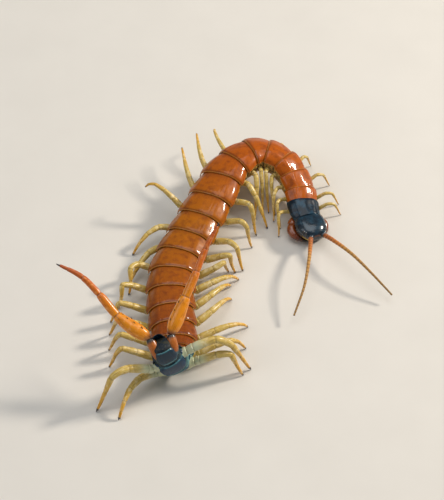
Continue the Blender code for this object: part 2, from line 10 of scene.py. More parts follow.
import bpy
import numpy as np
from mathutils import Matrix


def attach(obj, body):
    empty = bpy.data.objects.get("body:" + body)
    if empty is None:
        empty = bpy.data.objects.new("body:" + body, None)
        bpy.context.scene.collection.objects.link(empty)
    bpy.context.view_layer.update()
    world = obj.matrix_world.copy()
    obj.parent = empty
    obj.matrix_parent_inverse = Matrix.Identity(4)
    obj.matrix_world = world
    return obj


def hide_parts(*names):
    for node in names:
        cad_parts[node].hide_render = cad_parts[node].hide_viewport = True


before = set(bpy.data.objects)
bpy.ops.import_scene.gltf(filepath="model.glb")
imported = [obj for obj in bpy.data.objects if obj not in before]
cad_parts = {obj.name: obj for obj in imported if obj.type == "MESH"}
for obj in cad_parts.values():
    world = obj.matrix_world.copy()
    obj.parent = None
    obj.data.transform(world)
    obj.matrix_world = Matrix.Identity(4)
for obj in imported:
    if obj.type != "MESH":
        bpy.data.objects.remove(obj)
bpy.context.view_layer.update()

bl_info = {
    "name": "Giant Centipede",
    "version": (1, 0, 0),
    "blender": (4, 5, 0),
    "location": "View3D > Sidebar > Centipede",
    "description": "Builds the skin, plates, legs and head of a life-size giant centipede",
    "category": "Add Mesh",
}

METRE = 0.001
MIDDLE_X = 2.25
MIDDLE_Y = -10.22

# Way of the trunk's middle line, from the raised tail to the front of the head
ROUTE = (
    (-17.2, -52.4, 18.2), (-15.6, -52.2, 13.4), (-14.3, -50.4, 8.6), (-13.8, -46.2, 5.9),
    (-13.9, -40.0, 5.5), (-14.7, -31.5, 5.6), (-15.2, -22.5, 5.6), (-14.2, -13.0, 5.7),
    (-10.8, -3.4, 6.2), (-6.6, 5.6, 7.6), (-2.2, 14.6, 9.6), (2.6, 23.6, 11.4),
    (10.6, 29.0, 12.2), (18.6, 26.8, 10.9), (23.3, 19.6, 7.8), (25.2, 11.0, 5.6),
    (29.0, 0.4, 4.9),
)
ROUTE_STEPS = 60
PLATE_LENGTHS = (5.6, 4.4, 5.8, 5.2, 5.6, 5.2, 6.2, 7.2, 8.0, 7.4, 7.5,
                 7.5, 7.3, 7.3, 7.0, 6.3, 5.6, 4.8, 4.8, 5.2, 5.4)
SEGMENTS = len(PLATE_LENGTHS)
WALKING_PAIRS = 20
HEAD_LENGTH = 8.4

# Sizes along the trunk as (segment, size) stations
HALF_WIDTH = ((0, 4.5), (1, 4.9), (2, 5.0), (4, 5.6), (6, 6.7), (9, 7.5),
              (12, 7.4), (15, 6.9), (17, 6.4), (19, 5.3), (20, 4.3), (21, 3.2))
HALF_HEIGHT = ((0, 2.6), (1, 3.2), (3, 3.7), (6, 4.1), (10, 4.3), (14, 4.3),
               (17, 4.1), (19, 3.8), (20, 3.3), (21, 2.7))
LEAN = ((0, 4), (1, 12), (3, 22), (5, 20), (7, 14), (9, 9), (12, 3), (17, 3), (18, 8),
        (19, 15), (20, 14), (21, 2))
TAIL_BACK = 103.0
TAIL_TURN = ((0, 90), (6, 75), (18, 8), (22, 0))

# Halves of the section as shares of half width and half height
PLATE_ARCH = ((0.0, 1.0), (0.30, 0.975), (0.58, 0.86), (0.80, 0.62), (0.94, 0.33), (1.00, 0.06))
BELLY_ARCH = ((0.0, -1.0), (0.32, -0.98), (0.62, -0.88), (0.78, -0.62))
SKIN_ARCH = ((0.0, 0.93), (0.30, 0.90), (0.56, 0.79), (0.77, 0.56), (0.90, 0.28), (0.955, 0.03),
             (0.92, -0.14), (0.845, -0.36), (0.78, -0.62), (0.60, -0.86), (0.32, -0.955),
             (0.0, -0.97))
# Along one segment, rear edge to front: share of its length, size of the plate
PLATE_RISE = ((0.0, 1.0), (0.05, 1.018), (0.14, 1.042), (0.28, 1.038), (0.58, 1.005), (0.80, 0.965),
              (1.0, 0.92), (1.12, 0.90))
# The same for the last plate, whose narrow end reaches past the tail's end: share of its
# length, share of the trunk's width, share of its height
LAST_PLATE = ((-0.50, 0.20, 0.66), (-0.46, 0.30, 0.72), (-0.36, 0.37, 0.80), (-0.15, 0.46, 0.92),
              (0.05, 0.62, 0.98), (0.25, 0.86, 1.0), (0.5, 1.0, 1.0), (1.12, 0.96, 0.97))

# Walking legs as (pair, value) stations
LEG_LENGTH = ((1, 11.5), (5, 14.5), (10, 17.5), (15, 18.5), (18, 20), (19, 21.5), (20, 28.5))
LEG_RADIUS = ((1, 0.58), (3, 0.60), (6, 0.62), (8, 0.88), (12, 1.08), (18, 1.15), (20, 1.30))
RISE_RIGHT = ((1, 38), (12, 35), (18, 28), (19, 24), (20, 30))
RISE_LEFT = ((1, 38), (6, 36), (7, 10), (8, 25), (9, 18), (10, 42), (11, 35), (12, 35), (18, 28),
             (19, 24), (20, 30))
SHIN_RIGHT = ((1, 0.7), (18, 0.7), (19, 0.9), (20, 1.1))
SHIN_LEFT = ((1, 0.7), (6, 0.7), (7, 0.4), (10, 0.4), (11, 0.7), (18, 0.7), (19, 0.9), (20, 1.1))
LEAVE_RIGHT = ((1, 2.0), (20, 2.0))
LEAVE_LEFT = ((6, 2.0), (7, 4.0), (10, 4.0), (11, 2.0))
BEARING_RIGHT = ((1, -112), (2, -98), (3, -104), (4, -84), (5, -84), (6, -84), (7, -89),
                 (8, -55), (9, -46), (10, -30), (11, -42), (12, -10), (13, 29), (14, 30),
                 (15, 46), (16, 49), (17, 27), (18, 20), (19, 1), (20, 10))
REACH_RIGHT = ((1, 6.5), (3, 7.2), (6, 7.6), (7, 8.6), (8, 11.5), (9, 8.5), (10, 9.0), (11, 11.0),
               (12, 9.0), (13, 10.4), (14, 15.2), (16, 16.4), (17, 17.0), (19, 13.8), (20, 18.5))
BEARING_LEFT = ((1, 6), (2, 10), (3, 25), (4, 52), (5, 75), (6, 90), (7, 112), (8, 106),
                (9, 108), (10, 154), (11, 210), (12, 231), (13, 228), (14, 208), (15, 190),
                (16, 181), (17, 181), (18, 187), (19, 234), (20, 208))
REACH_LEFT = ((1, 7.5), (4, 8.5), (6, 10.5), (7, 13.4), (8, 15.3), (9, 15.9), (10, 13.8), (11, 14.6),
              (12, 16.0), (13, 10.8), (14, 10.4), (15, 11.5), (17, 13.0), (18, 13.5), (19, 18.4),
              (20, 18.3))
LIFT_LEFT = ((6, 0.0), (7, 7.0), (8, 10.0), (9, 10.5), (10, 9.0), (11, 0.0))
HIP_PLACE = ((1, 0.28), (2, 0.45), (18, 0.45), (19, 0.50), (20, 0.45))
HIP_LOW = ((1, 0.50), (18, 0.50), (19, 0.62), (20, 0.05))
HIP_OUT = 0.80
HIP_DROOP = 0.08
COXA_OUT = ((1, 0.9), (10, 0.9), (12, 1.0), (14, 0.9), (18, 0.9), (19, 1.1), (20, 1.5))
HIP_GAP = 0.3
# Share of a leg's length, share of its radius
LEG_TAPER = ((0.0, 1.0), (0.07, 1.06), (0.27, 0.92), (0.34, 0.92), (0.50, 0.74),
             (0.56, 0.74), (0.72, 0.52), (0.87, 0.40), (0.95, 0.30), (1.0, 0.10))
# Where a walking leg's pieces begin and end, as shares of its length; the last is the claw
LEG_JOINTS = (0.0, 0.07, 0.305, 0.53, 0.72, 0.865, 0.955, 1.0)

# The last pair of legs: joints from the tail outwards
LAST_LEG_LEFT = ((-19.7, -51.3, 18.7), (-29.0, -46.6, 23.2), (-34.7, -42.0, 28.0),
                 (-39.8, -38.4, 31.6), (-46.8, -35.8, 34.0))
LAST_LEG_RIGHT = ((-14.9, -50.6, 19.2), (-10.2, -42.0, 27.0), (-7.2, -36.8, 31.6),
                  (-4.8, -31.8, 35.6), (-0.8, -26.0, 40.6))
LAST_LEG_TAPER = ((0.0, 1.05), (0.02, 1.35), (0.05, 1.78), (0.11, 2.1), (0.17, 2.02), (0.24, 1.80),
                  (0.33, 1.45), (0.36, 1.25), (0.52, 1.2), (0.57, 0.95),
                  (0.74, 0.85), (0.88, 0.6), (0.96, 0.4), (1.0, 0.08))
LAST_LEG_JOINTS = (0.0, 0.335, 0.56, 0.755, 0.90, 0.965, 1.0)
LAST_LEG_OUT = 0.9
LAST_COXA_ALONG = 3.9
LAST_COXA_OUT = 2.2
LAST_COXA_LOW = 1.9
# Rows of spines: inward and lower parts of the way out, shares of the first piece's length
SPINE_ROWS = (((1.0, 0.0), (0.22, 0.46, 0.70)), ((0.75, 0.66), (0.34, 0.58, 0.80)),
              ((0.30, -0.95), (0.30, 0.52, 0.74)), ((-0.55, -0.83), (0.42, 0.66)))

# Flank plates: place ahead of the hip and half length as shares of the segment, level and
# half level on the flank, bulge
FLANKS = ((0.30, 0.11, 0.30, 0.24, 0.26), (-0.27, 0.10, 0.42, 0.30, 0.26),
          (0.02, 0.17, 0.10, 0.13, 0.24), (0.02, 0.26, 0.93, 0.12, 0.20))
SPIRACLES = (3, 5, 8, 10, 12, 14, 16, 18, 20)
SKIN_STEP = 0.2
SKIN_SIDES = 72
CAP_RINGS = 8

# Half width, half height and drop of the head at distances in front of the neck
HEAD_SIZES = np.array((
    (0.0, 3.5, 1.60, 0.0), (0.15, 3.75, 1.80, 0.0), (0.6, 4.15, 2.05, 0.0), (1.6, 4.42, 2.22, 0.05),
    (2.6, 4.50, 2.30, 0.10), (3.8, 4.42, 2.29, 0.13), (4.8, 4.20, 2.25, 0.15), (5.8, 3.82, 2.12, 0.17),
    (6.6, 3.32, 1.90, 0.20), (7.3, 2.70, 1.62, 0.26), (7.9, 2.00, 1.25, 0.34), (8.25, 1.35, 0.90, 0.38),
    (8.4, 0.75, 0.55, 0.40)))
# Eyes: distance in front of the neck, angle from the side over the top, radius
EYES = ((5.75, 0.52, 0.36), (6.55, 0.50, 0.36), (6.05, 0.12, 0.36), (6.85, 0.10, 0.32))
CLAW_RADIUS = 1.35
CLAW_JOINTS = (0.0, 0.44, 0.52, 0.60, 1.0)
CLAW_TAPER = ((0.0, 1.0), (0.18, 1.08), (0.40, 0.94), (0.60, 0.66), (0.78, 0.42), (0.92, 0.20), (1.0, 0.03))
FEELER_RADIUS = 0.72
COLLAR = ((0.0, 0.95), (0.45, 1.30), (0.75, 1.36), (0.9, 1.25), (1.0, 1.02))

# Lights: name, place and side in metres, power in watts, colour
LIGHTS = (("key", (0.70, 0.25, 0.50), 0.12, 7.0, "fff6ea"),
          ("fill", (-0.75, -0.35, 0.70), 0.60, 2.2, "eef2fa"),
          ("top", (0.0, 0.1, 1.1), 0.90, 5.5, "ffffff"))
WORLD_COLOUR = "dfe6ee"
WORLD_STRENGTH = 0.26
FLOOR_HALF = 3.0
CAMERA_LENS = 153.4
CAMERA_SENSOR = 36.0


class CentipedeSizes(bpy.types.PropertyGroup):
    """Sizes that may be changed before the pieces are built, in metres."""

    plate_thickness: bpy.props.FloatProperty(
        name="Plate Thickness", description="Thickness of a back plate in its middle",
        default=0.00034, min=0.0001, max=0.001, subtype="DISTANCE", unit="LENGTH", precision=5)
    suture_depth: bpy.props.FloatProperty(
        name="Suture Depth", description="Depth of the two long grooves on each back plate",
        default=0.00007, min=0.0, max=0.0003, subtype="DISTANCE", unit="LENGTH", precision=5)
    skin_fold: bpy.props.FloatProperty(
        name="Skin Fold", description="Height of the folds of the soft skin between plates",
        default=0.00010, min=0.0, max=0.0004, subtype="DISTANCE", unit="LENGTH", precision=5)
    spine_length: bpy.props.FloatProperty(
        name="Spine Length", description="Length of a spine on the last pair of legs",
        default=0.0010, min=0.0002, max=0.002, subtype="DISTANCE", unit="LENGTH", precision=5)
    camera_distance: bpy.props.FloatProperty(
        name="Camera Distance", description="From the camera to the middle of the picture",
        default=0.65, min=0.2, max=2.0, subtype="DISTANCE", unit="LENGTH")
    camera_height: bpy.props.FloatProperty(
        name="Camera Elevation", description="Angle of the camera's view above the floor",
        default=math.radians(48.0), min=0.1, max=1.5, subtype="ANGLE", unit="ROTATION")


def srgb(code):
    """The linear colour of an sRGB hex value such as "c8702a"."""
    parts = np.array([int(code[i:i + 2], 16) for i in (0, 2, 4)]) / 255.0
    line = np.where(parts <= 0.04045, parts / 12.92, ((parts + 0.055) / 1.055) ** 2.4)
    return (float(line[0]), float(line[1]), float(line[2]), 1.0)


def colour_property(name, description, code):
    """A colour that may be changed, from its sRGB hex value."""
    return bpy.props.FloatVectorProperty(
        name=name, description=description, default=srgb(code)[:3], size=3, min=0.0, max=1.0,
        subtype="COLOR")


class CentipedeColours(bpy.types.PropertyGroup):
    """Main colours, in linear light."""

    back: colour_property("Back Plates", "Middle of a back plate in the trunk's middle", "a65e02")
    front: colour_property("Front Plates", "Back plates near the head", "ac5202")
    rim: colour_property("Plate Rims", "Thin rear rim of a back plate", "bd7a2c")
    dark: colour_property("Head and Tail", "Blue-black of head and tail", "081824")
    teal: colour_property("Tail Bands", "Pale teal bands of the tail's underside", "3f8290")
    leg: colour_property("Walking Legs", "Pale ochre of the walking legs", "cdb05c")
    last_leg: colour_property("Last Legs", "Orange of the last pair of legs", "e28a06")
    floor: colour_property("Floor", "Pale plain floor", "d6d1c8")


def unit(vectors):
    """Vectors of length one in the same directions."""
    return vectors / np.linalg.norm(vectors, axis=-1, keepdims=True)


def station(table, place):
    """Value of a table of (place, value) pairs, in a straight line between pairs."""
    table = np.array(table, dtype=float)
    return np.interp(place, table[:, 0], table[:, 1])


def smooth_line(points, steps):
    """Catmull-Rom curve: each stretch is the cubic whose end slopes are half the step
    between the neighbouring points on either side."""
    points = np.array(points, dtype=float)
    ends = np.vstack([2 * points[0] - points[1], points, 2 * points[-1] - points[-2]])
    share = np.linspace(0.0, 1.0, steps, endpoint=False)[:, None]
    parts = []
    for index in range(1, len(ends) - 2):
        a, b, c, d = ends[index - 1:index + 3]
        parts.append(0.5 * (2 * b + (c - a) * share + (2 * a - 5 * b + 4 * c - d) * share ** 2
                            + (3 * b - a - 3 * c + d) * share ** 3))
    parts.append(points[-1][None])
    return np.vstack(parts)


def lengths_along(points):
    """Distance of each point of a line from its first, along the line."""
    steps = np.linalg.norm(np.diff(points, axis=0), axis=1)
    return np.concatenate([[0.0], np.cumsum(steps)])


def at_shares(line, shares):
    """Points of a line at shares of its length."""
    along = lengths_along(line)
    places = np.asarray(shares) * along[-1]
    return np.stack([np.interp(places, along, line[:, i]) for i in range(3)], -1)


def smooth_step(low, high, value):
    """Goes from 0 at low to 1 at high, level at both ends."""
    share = np.clip((value - low) / (high - low), 0.0, 1.0)
    return share * share * (3 - 2 * share)


class Trunk:
    """The trunk's middle line, with the directions of its back and its right side."""

    def __init__(self):
        line = smooth_line(ROUTE, ROUTE_STEPS)
        self.along = lengths_along(line)
        self.line = line
        self.forward = unit(np.gradient(line, self.along, axis=0))
        turn = np.radians(station(TAIL_TURN, self.along))
        back_way = np.array([math.cos(math.radians(TAIL_BACK)), math.sin(math.radians(TAIL_BACK)), 0.0])
        wanted = np.outer(np.cos(turn), [0.0, 0.0, 1.0]) + np.outer(np.sin(turn), back_way)
        self.back = wanted - self.forward * np.sum(wanted * self.forward, axis=1)[:, None]
        lengths = np.array(PLATE_LENGTHS[::-1])
        self.rear = np.concatenate([[0.0], np.cumsum(lengths)])[::-1]

    def segment_at(self, along):
        return np.interp(along, self.rear[::-1], np.arange(SEGMENTS, -1, -1))

    def frame(self, along):
        """Point, forward, right and back directions at distances from the tail's end.
        Past either end the line goes straight on."""
        along = np.asarray(along, dtype=float)
        point, forward, back = (np.stack([np.interp(along, self.along, part[:, i]) for i in range(3)], -1)
                                for part in (self.line, self.forward, self.back))
        forward = unit(forward)
        point = point + forward * (along - np.clip(along, 0.0, self.along[-1]))[..., None]
        back = unit(back - forward * np.sum(back * forward, axis=-1, keepdims=True))
        right = np.cross(forward, back)
        lean = np.radians(station(LEAN, self.segment_at(along)))[..., None]
        return (point, forward, right * np.cos(lean) + back * np.sin(lean),
                back * np.cos(lean) - right * np.sin(lean))

    def place(self, along, across, up):
        """Points at distances along the line, to the right of it and towards the back."""
        point, _, right, back = self.frame(along)
        return point + right * np.asarray(across)[..., None] + back * np.asarray(up)[..., None]

    def sizes(self, along):
        segment = self.segment_at(along)
        return station(HALF_WIDTH, segment), station(HALF_HEIGHT, segment)


TRUNK = Trunk()
NECK = float(TRUNK.rear[0])


def arch(half, count):
    """The smooth curve through a half section and its mirror image, at even shares of its
    length from its left end to its right end."""
    half = np.array(half)
    both = np.vstack([half[:0:-1] * [-1, 1], half])
    line = smooth_line(both, 16)
    along = lengths_along(line)
    share = np.linspace(0.0, 1.0, count)
    return np.stack([np.interp(share * along[-1], along, line[:, i]) for i in range(2)], -1)


class Surface:
    """Gathers closed surfaces, their finish numbers and their attributes for one mesh."""

    def __init__(self):
        self.points = []
        self.faces = []
        self.values = []
        self.count = 0

    def add(self, points, faces, finish=0, **values):
        """Adds one closed surface. Its volume, the sum of the signed volumes between the
        faces and the origin, tells which way the faces point, and they are turned outwards."""
        points = np.asarray(points, dtype=float)
        middle = points - points.mean(axis=0)
        volume = 0.0
        for group in faces:
            corner = middle[group]
            for last in range(2, group.shape[1]):
                volume += np.sum(corner[:, 0] * np.cross(corner[:, last - 1], corner[:, last]))
        for group in faces:
            turned = group if volume > 0 else group[:, ::-1]
            self.faces.append((turned + self.count, finish))
        self.points.append(points)
        self.values.append({name: np.broadcast_to(value, len(points)).astype(float)
                            for name, value in values.items()})
        self.count += len(points)

    def add_tube(self, rings, finish=0, **values):
        """Adds rings, an array of rows, points round and three places, closed at both ends
        by a middle point."""
        rows, columns = rings.shape[:2]
        points = np.vstack([rings.reshape(-1, 3), rings[0].mean(axis=0), rings[-1].mean(axis=0)])
        first, last = rows * columns, rows * columns + 1
        side = np.arange(columns)
        after = (side + 1) % columns
        base = (rows - 1) * columns
        caps = np.vstack([np.stack([after, side, np.full(columns, first)], -1),
                          np.stack([base + side, base + after, np.full(columns, last)], -1)])
        full = {}
        for name, value in values.items():
            grid = np.broadcast_to(value, (rows, columns)).astype(float)
            full[name] = np.concatenate([grid.reshape(-1), [grid[0].mean(), grid[-1].mean()]])
        self.add(points, [quads(rows, columns, True), caps], finish, **full)

    def add_shell(self, outer, inner, finish=0, **values):
        """Adds a thin plate between an outer and an inner grid of equal size, whose four
        borders are joined all round."""
        rows, columns = outer.shape[:2]
        count = rows * columns
        top = quads(rows, columns, False)
        under = top[:, ::-1] + count
        grid = np.arange(count).reshape(rows, columns)
        border = np.concatenate([grid[0, :-1], grid[:-1, -1], grid[-1, :0:-1], grid[:0:-1, 0]])
        after = np.roll(border, -1)
        edge = np.stack([after, border, border + count, after + count], -1)
        full = {}
        for name, value in values.items():
            flat = np.broadcast_to(value, (rows, columns)).astype(float).reshape(-1)
            full[name] = np.concatenate([flat, flat])
        self.add(np.vstack([outer.reshape(-1, 3), inner.reshape(-1, 3)]), [top, under, edge], finish, **full)


def quads(rows, columns, closed):
    """Corner numbers of the four-sided faces between neighbouring points of a grid."""
    row = np.arange(rows - 1)[:, None]
    column = np.arange(columns if closed else columns - 1)[None, :]
    after = (column + 1) % columns
    return np.stack([row * columns + column, row * columns + after,
                     (row + 1) * columns + after, (row + 1) * columns + column], -1).reshape(-1, 4)


def make_piece(name, surface, finishes, nodes=()):
    """One finished object from a gathered surface; its place is in its mesh."""
    points = (np.vstack(surface.points) - [MIDDLE_X, MIDDLE_Y, 0.0]) * METRE
    faces = []
    numbers = []
    for group, finish in surface.faces:
        faces.extend(group.tolist())
        numbers.extend([finish] * len(group))
    mesh = bpy.data.meshes.new(name)
    mesh.from_pydata(points.tolist(), [], faces)
    for finish in finishes:
        mesh.materials.append(finish)
    mesh.polygons.foreach_set("material_index", numbers)
    for label in sorted({label for values in surface.values for label in values}):
        data = np.concatenate([values.get(label, np.zeros(len(part)))
                               for values, part in zip(surface.values, surface.points)])
        mesh.attributes.new(label, "FLOAT", "POINT").data.foreach_set("value", data)
    mesh.shade_smooth()
    mesh.update()
    thing = bpy.data.objects.new(name, mesh)
    bpy.context.scene.collection.objects.link(thing)
    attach(thing, "root")
    if nodes:
        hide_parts(*nodes)
    return thing


def ring_points(line, radii, across, sides, flat=1.0):
    """Rings round a line: circles of the given radii square to the line, with the first
    point towards across; flat is the height as a share of the width."""
    along = lengths_along(line)
    axis = unit(np.gradient(line, np.maximum(along, 1e-9) + np.arange(len(line)) * 1e-9, axis=0))
    across = np.broadcast_to(across, line.shape)
    across = unit(across - axis * np.sum(across * axis, axis=1, keepdims=True))
    third = np.cross(axis, across)
    turns = np.arange(sides) * 2 * math.pi / sides
    radii = np.broadcast_to(radii, len(line))
    return (line[:, None] + radii[:, None, None]
            * (np.cos(turns)[None, :, None] * across[:, None]
               + flat * np.sin(turns)[None, :, None] * third[:, None]))


def podomere_shares(joints):
    """Shares of a leg's length, close together at each joint between its pieces."""
    local = np.array([0.0, 0.035, 0.08, 0.14, 0.24, 0.38, 0.54, 0.70, 0.82, 0.90, 0.955, 0.985])
    joints = np.array(joints)
    return np.concatenate([(joints[:-1, None] + local[None] * np.diff(joints)[:, None]).reshape(-1), [1.0]])


def podomere_swell(shares, joints, depth, flare):
    """How far each piece of a leg swells: narrow where it leaves the last one, full in the
    middle, a little flared at its far end, then narrow again. Also gives the neckness."""
    joints = np.array(joints)
    number = np.clip(np.searchsorted(joints, shares, side="right") - 1, 0, len(joints) - 2)
    local = (shares - joints[number]) / np.diff(joints)[number]
    neck = 1.0 - smooth_step(0.0, 0.13, local) * (1.0 - smooth_step(0.955, 1.0, local))
    swell = 1.0 + 0.03 * np.sin(math.pi * np.clip(local, 0, 1)) + flare * smooth_step(0.72, 0.93, local)
    return swell * (1.0 - depth * neck), neck


COLOUR = {"data_type": "RGBA"}
SMOOTH = {"interpolation_type": "SMOOTHSTEP"}


def add(tree, kind, out, links=None, stops=(), **settings):
    """Adds one node with its settings, its inputs' values or links, and a colour ramp's
    stops, and gives the named or numbered output."""
    node = tree.nodes.new("ShaderNode" + kind)
    for name, value in settings.items():
        setattr(node, name, value)
    for socket, value in (links or {}).items():
        if isinstance(value, bpy.types.NodeSocket):
            tree.links.new(value, node.inputs[socket])
        else:
            node.inputs[socket].default_value = linear(value)
    for number, (place, colour) in enumerate(stops):
        if number > 1:
            node.color_ramp.elements.new(place)
        node.color_ramp.elements[number].position = place
        node.color_ramp.elements[number].color = linear(colour)
    return node.outputs[out]


def linear(value):
    """A colour for a socket from a hex value or a property; other values stay as they are."""
    if isinstance(value, str):
        return srgb(value)
    if isinstance(value, (int, float)) or len(value) == 4:
        return value
    return (value[0], value[1], value[2], 1.0)


def per_metre(size):
    """Scale of a pattern whose spots are as far apart as size, in millimetres."""
    return 1.0 / (size * METRE)


def begin(name, radius=(1.0, 0.4, 0.1), **shader):
    """A material with one Principled shader, whose constants are set on its own sockets,
    and the place on the piece that its patterns read."""
    material = bpy.data.materials.new(name)
    material.use_nodes = True
    tree = material.node_tree
    principled = tree.nodes["Principled BSDF"]
    for socket, value in shader.items():
        principled.inputs[socket.replace("_", " ")].default_value = value
    principled.inputs["Subsurface Radius"].default_value = radius
    return material, tree, principled, add(tree, "TexCoord", "Object")


def paint(tree, body, *coats):
    """Lays colours over one another. Each coat is a value, the colour that shows where the
    value passes from low to high, low and high, and how much of it shows there at most."""
    for value, colour, low, high, most in coats:
        share = add(tree, "MapRange", 0, {0: value, 1: low, 2: high, 3: 0.0, 4: most}, **SMOOTH)
        body = add(tree, "Mix", 2, {0: share, 6: body, 7: colour}, **COLOUR)
    return body


def finish_surface(tree, shader, body, height, strength, depth):
    """Joins colour and relief to the shader; depth is the relief's height in millimetres."""
    tree.links.new(body, shader.inputs["Base Color"])
    normal = add(tree, "Bump", 0, {"Height": height, "Strength": strength, "Distance": depth * METRE})
    tree.links.new(normal, shader.inputs["Normal"])


def plate_material(colours):
    """Sclerotised chitin, hardened and tanned in layers and waxed by the skin's glands: a
    clear gloss over orange-brown, with cloudy tanning and thin paler rims."""
    material, tree, shader, place = begin(
        "tanned_chitin_plate", (1.0, 0.5, 0.15), Roughness=0.38, IOR=1.50, Specular_IOR_Level=0.15,
        Coat_Weight=0.35, Coat_Roughness=0.08, Coat_IOR=1.5, Subsurface_Weight=0.02, Subsurface_Scale=0.0006)
    along, rear, edge, dark = (add(tree, "Attribute", "Fac", attribute_name=name)
                               for name in ("along", "rear", "edge", "dark"))
    # From the seventeenth plate to the tail's end the plates darken: painted shade cast by the raised tail
    body = add(tree, "ValToRGB", 0, {0: along}, (
        (0.0, colours.front), (0.28, colours.front), (0.50, colours.back), (0.80, "8c440a"), (1.0, "6e3208")))
    # Cloudy tanning about 2 mm across, streaks 0.7 mm wide and flecks 0.35 mm across
    cloud = add(tree, "TexNoise", 0, {0: place, 2: per_metre(2.0), 3: 3.0})
    streak = add(tree, "TexNoise", 0, {0: place, 2: per_metre(0.7), 3: 4.0, "Distortion": 1.2})
    fleck = add(tree, "TexNoise", 0, {0: place, 2: per_metre(0.35), 3: 2.0})
    body = paint(tree, body, (cloud, "6a2a04", 0.42, 0.72, 0.55), (streak, "c2650f", 0.52, 0.72, 0.35),
                 (fleck, "5a2404", 0.56, 0.74, 0.30),
                 # Darker just before the rim, and painted shade on the front part, where the rim of the plate
                 # in front lies over this one
                 (rear, "55230a", 0.95, 0.42, 0.45), (rear, "6b2f08", 5.2, 7.2, 0.35),
                 (edge, "cf8f45", 0.42, 0.20, 0.65), (rear, colours.rim, 0.34, 0.20, 0.60))
    body = paint(tree, body, (dark, colours.dark, 0.1, 0.9, 1.0))
    # Painted blue sheen in patches on the dark first and last two plates
    sheen = add(tree, "Math", 0, {0: dark, 1: cloud}, operation="MULTIPLY")
    body = paint(tree, body, (sheen, "1d4256", 0.45, 0.70, 0.8))
    # Fine pits about 0.25 mm apart and slow waves about 1.6 mm long in the wax
    pits = add(tree, "TexVoronoi", "Distance", {0: place, 2: per_metre(0.25)})
    waves = add(tree, "TexNoise", 0, {0: place, 2: per_metre(1.6), 3: 2.0})
    shallow = add(tree, "Math", 0, {0: pits, 1: 0.10}, operation="MULTIPLY")
    height = add(tree, "Math", 0, {0: waves, 1: shallow}, operation="ADD")
    finish_surface(tree, shader, body, height, 0.35, 0.20)
    gloss = add(tree, "MapRange", 0, {0: cloud, 1: 0.3, 2: 0.7, 3: 0.32, 4: 0.44}, **SMOOTH)
    tree.links.new(gloss, shader.inputs["Roughness"])
    return material


def skin_material(colours):
    """Soft untanned cuticle that folds between the plates: dull, olive-tan, finely wrinkled, turning pale
    teal and then navy on the tail, with painted shade in its folds and between the segments."""
    material, tree, shader, place = begin(
        "soft_cuticle_skin", (1.0, 0.6, 0.3), Roughness=0.5, IOR=1.42, Specular_IOR_Level=0.35,
        Subsurface_Weight=0.12, Subsurface_Scale=0.0008)
    along, fold = (add(tree, "Attribute", "Fac", attribute_name=name) for name in ("along", "fold"))
    cloud = add(tree, "TexNoise", 0, {0: place, 2: per_metre(1.3), 3: 3.0})
    grain = add(tree, "TexNoise", 0, {0: place, 2: per_metre(0.22), 3: 3.0})
    body = add(tree, "ValToRGB", 0, {0: along}, (
        (0.0, "2c3a40"), (0.05, "2c3a40"), (0.07, "a5864c"), (0.83, "a5864c"), (0.868, "9dbdb0"),
        (0.91, "86b4b2"), (0.935, colours.teal), (0.96, "12303e"), (1.0, "0d1d29")))
    # Painted shade: darker in the troughs of the skin's folds and in the waist between segments
    body = paint(tree, body, (cloud, "54513a", 0.45, 0.75, 0.45), (grain, "d8c795", 0.55, 0.8, 0.25),
                 (fold, "33301f", 0.35, 0.0, 0.55))
    finish_surface(tree, shader, body, grain, 0.4, 0.10)
    return material


def belly_material(colours):
    """Thin sclerotised chitin of the belly and flanks: paler than the back, satin, ochre,
    and navy with teal edges on the tail."""
    material, tree, shader, place = begin(
        "thin_chitin_belly", Roughness=0.34, IOR=1.45, Specular_IOR_Level=0.35, Coat_Weight=0.2,
        Coat_Roughness=0.12, Subsurface_Weight=0.05, Subsurface_Scale=0.0008)
    along, edge, ends = (add(tree, "Attribute", "Fac", attribute_name=name)
                         for name in ("along", "edge", "ends"))
    cloud = add(tree, "TexNoise", 0, {0: place, 2: per_metre(1.6), 3: 3.0})
    waves = add(tree, "TexNoise", 0, {0: place, 2: per_metre(0.9), 3: 3.0})
    body = add(tree, "ValToRGB", 0, {0: along}, (
        (0.0, colours.dark), (0.045, colours.dark), (0.065, "b88b42"), (0.835, "b08c4c"),
        (0.872, "2a6878"), (0.93, "053050"), (0.962, "0a2f45"), (1.0, "0e2a3a")))
    body = paint(tree, body, (cloud, "3a2a12", 0.5, 0.8, 0.35))
    # Pale edges along the trunk's belly plates, teal ones at the ends of the tail's
    pale = add(tree, "MapRange", 0, {0: along, 1: 0.87, 2: 0.83, 3: 0.0, 4: 1.0}, **SMOOTH)
    rim = add(tree, "MapRange", 0, {0: edge, 1: 1.1, 2: 0.2, 3: 0.0, 4: 0.6}, **SMOOTH)
    rim = add(tree, "Math", 0, {0: rim, 1: pale}, operation="MULTIPLY")
    tail = add(tree, "MapRange", 0, {0: ends, 1: 0.75, 2: 0.1, 3: 0.0, 4: 0.9}, **SMOOTH)
    tail = add(tree, "Math", 0, {0: tail, 1: pale}, operation="SUBTRACT", use_clamp=True)
    body = paint(tree, body, (rim, "dcc088", 0.0, 0.6, 0.8), (tail, colours.teal, 0.2, 0.9, 0.55),
                 (tail, "9cc9c8", 0.80, 0.95, 0.25))
    finish_surface(tree, shader, body, waves, 0.3, 0.18)
    return material


def streaks(tree, length, width):
    """Noise drawn out along a leg: it is read at the cosine and sine of the way round the
    leg, and at a slow step along it. Length and width are counts of streaks."""
    share, turn = (add(tree, "Attribute", "Fac", attribute_name=name) for name in ("share", "turn"))
    angle = add(tree, "Math", 0, {0: turn, 1: 2 * math.pi}, operation="MULTIPLY")
    x, y = (add(tree, "Math", 0, {0: angle}, operation=kind) for kind in ("COSINE", "SINE"))
    z = add(tree, "Math", 0, {0: share, 1: length / width}, operation="MULTIPLY")
    return add(tree, "TexNoise", 0, {0: add(tree, "CombineXYZ", 0, {0: x, 1: y, 2: z}), 2: width, 3: 3.0})


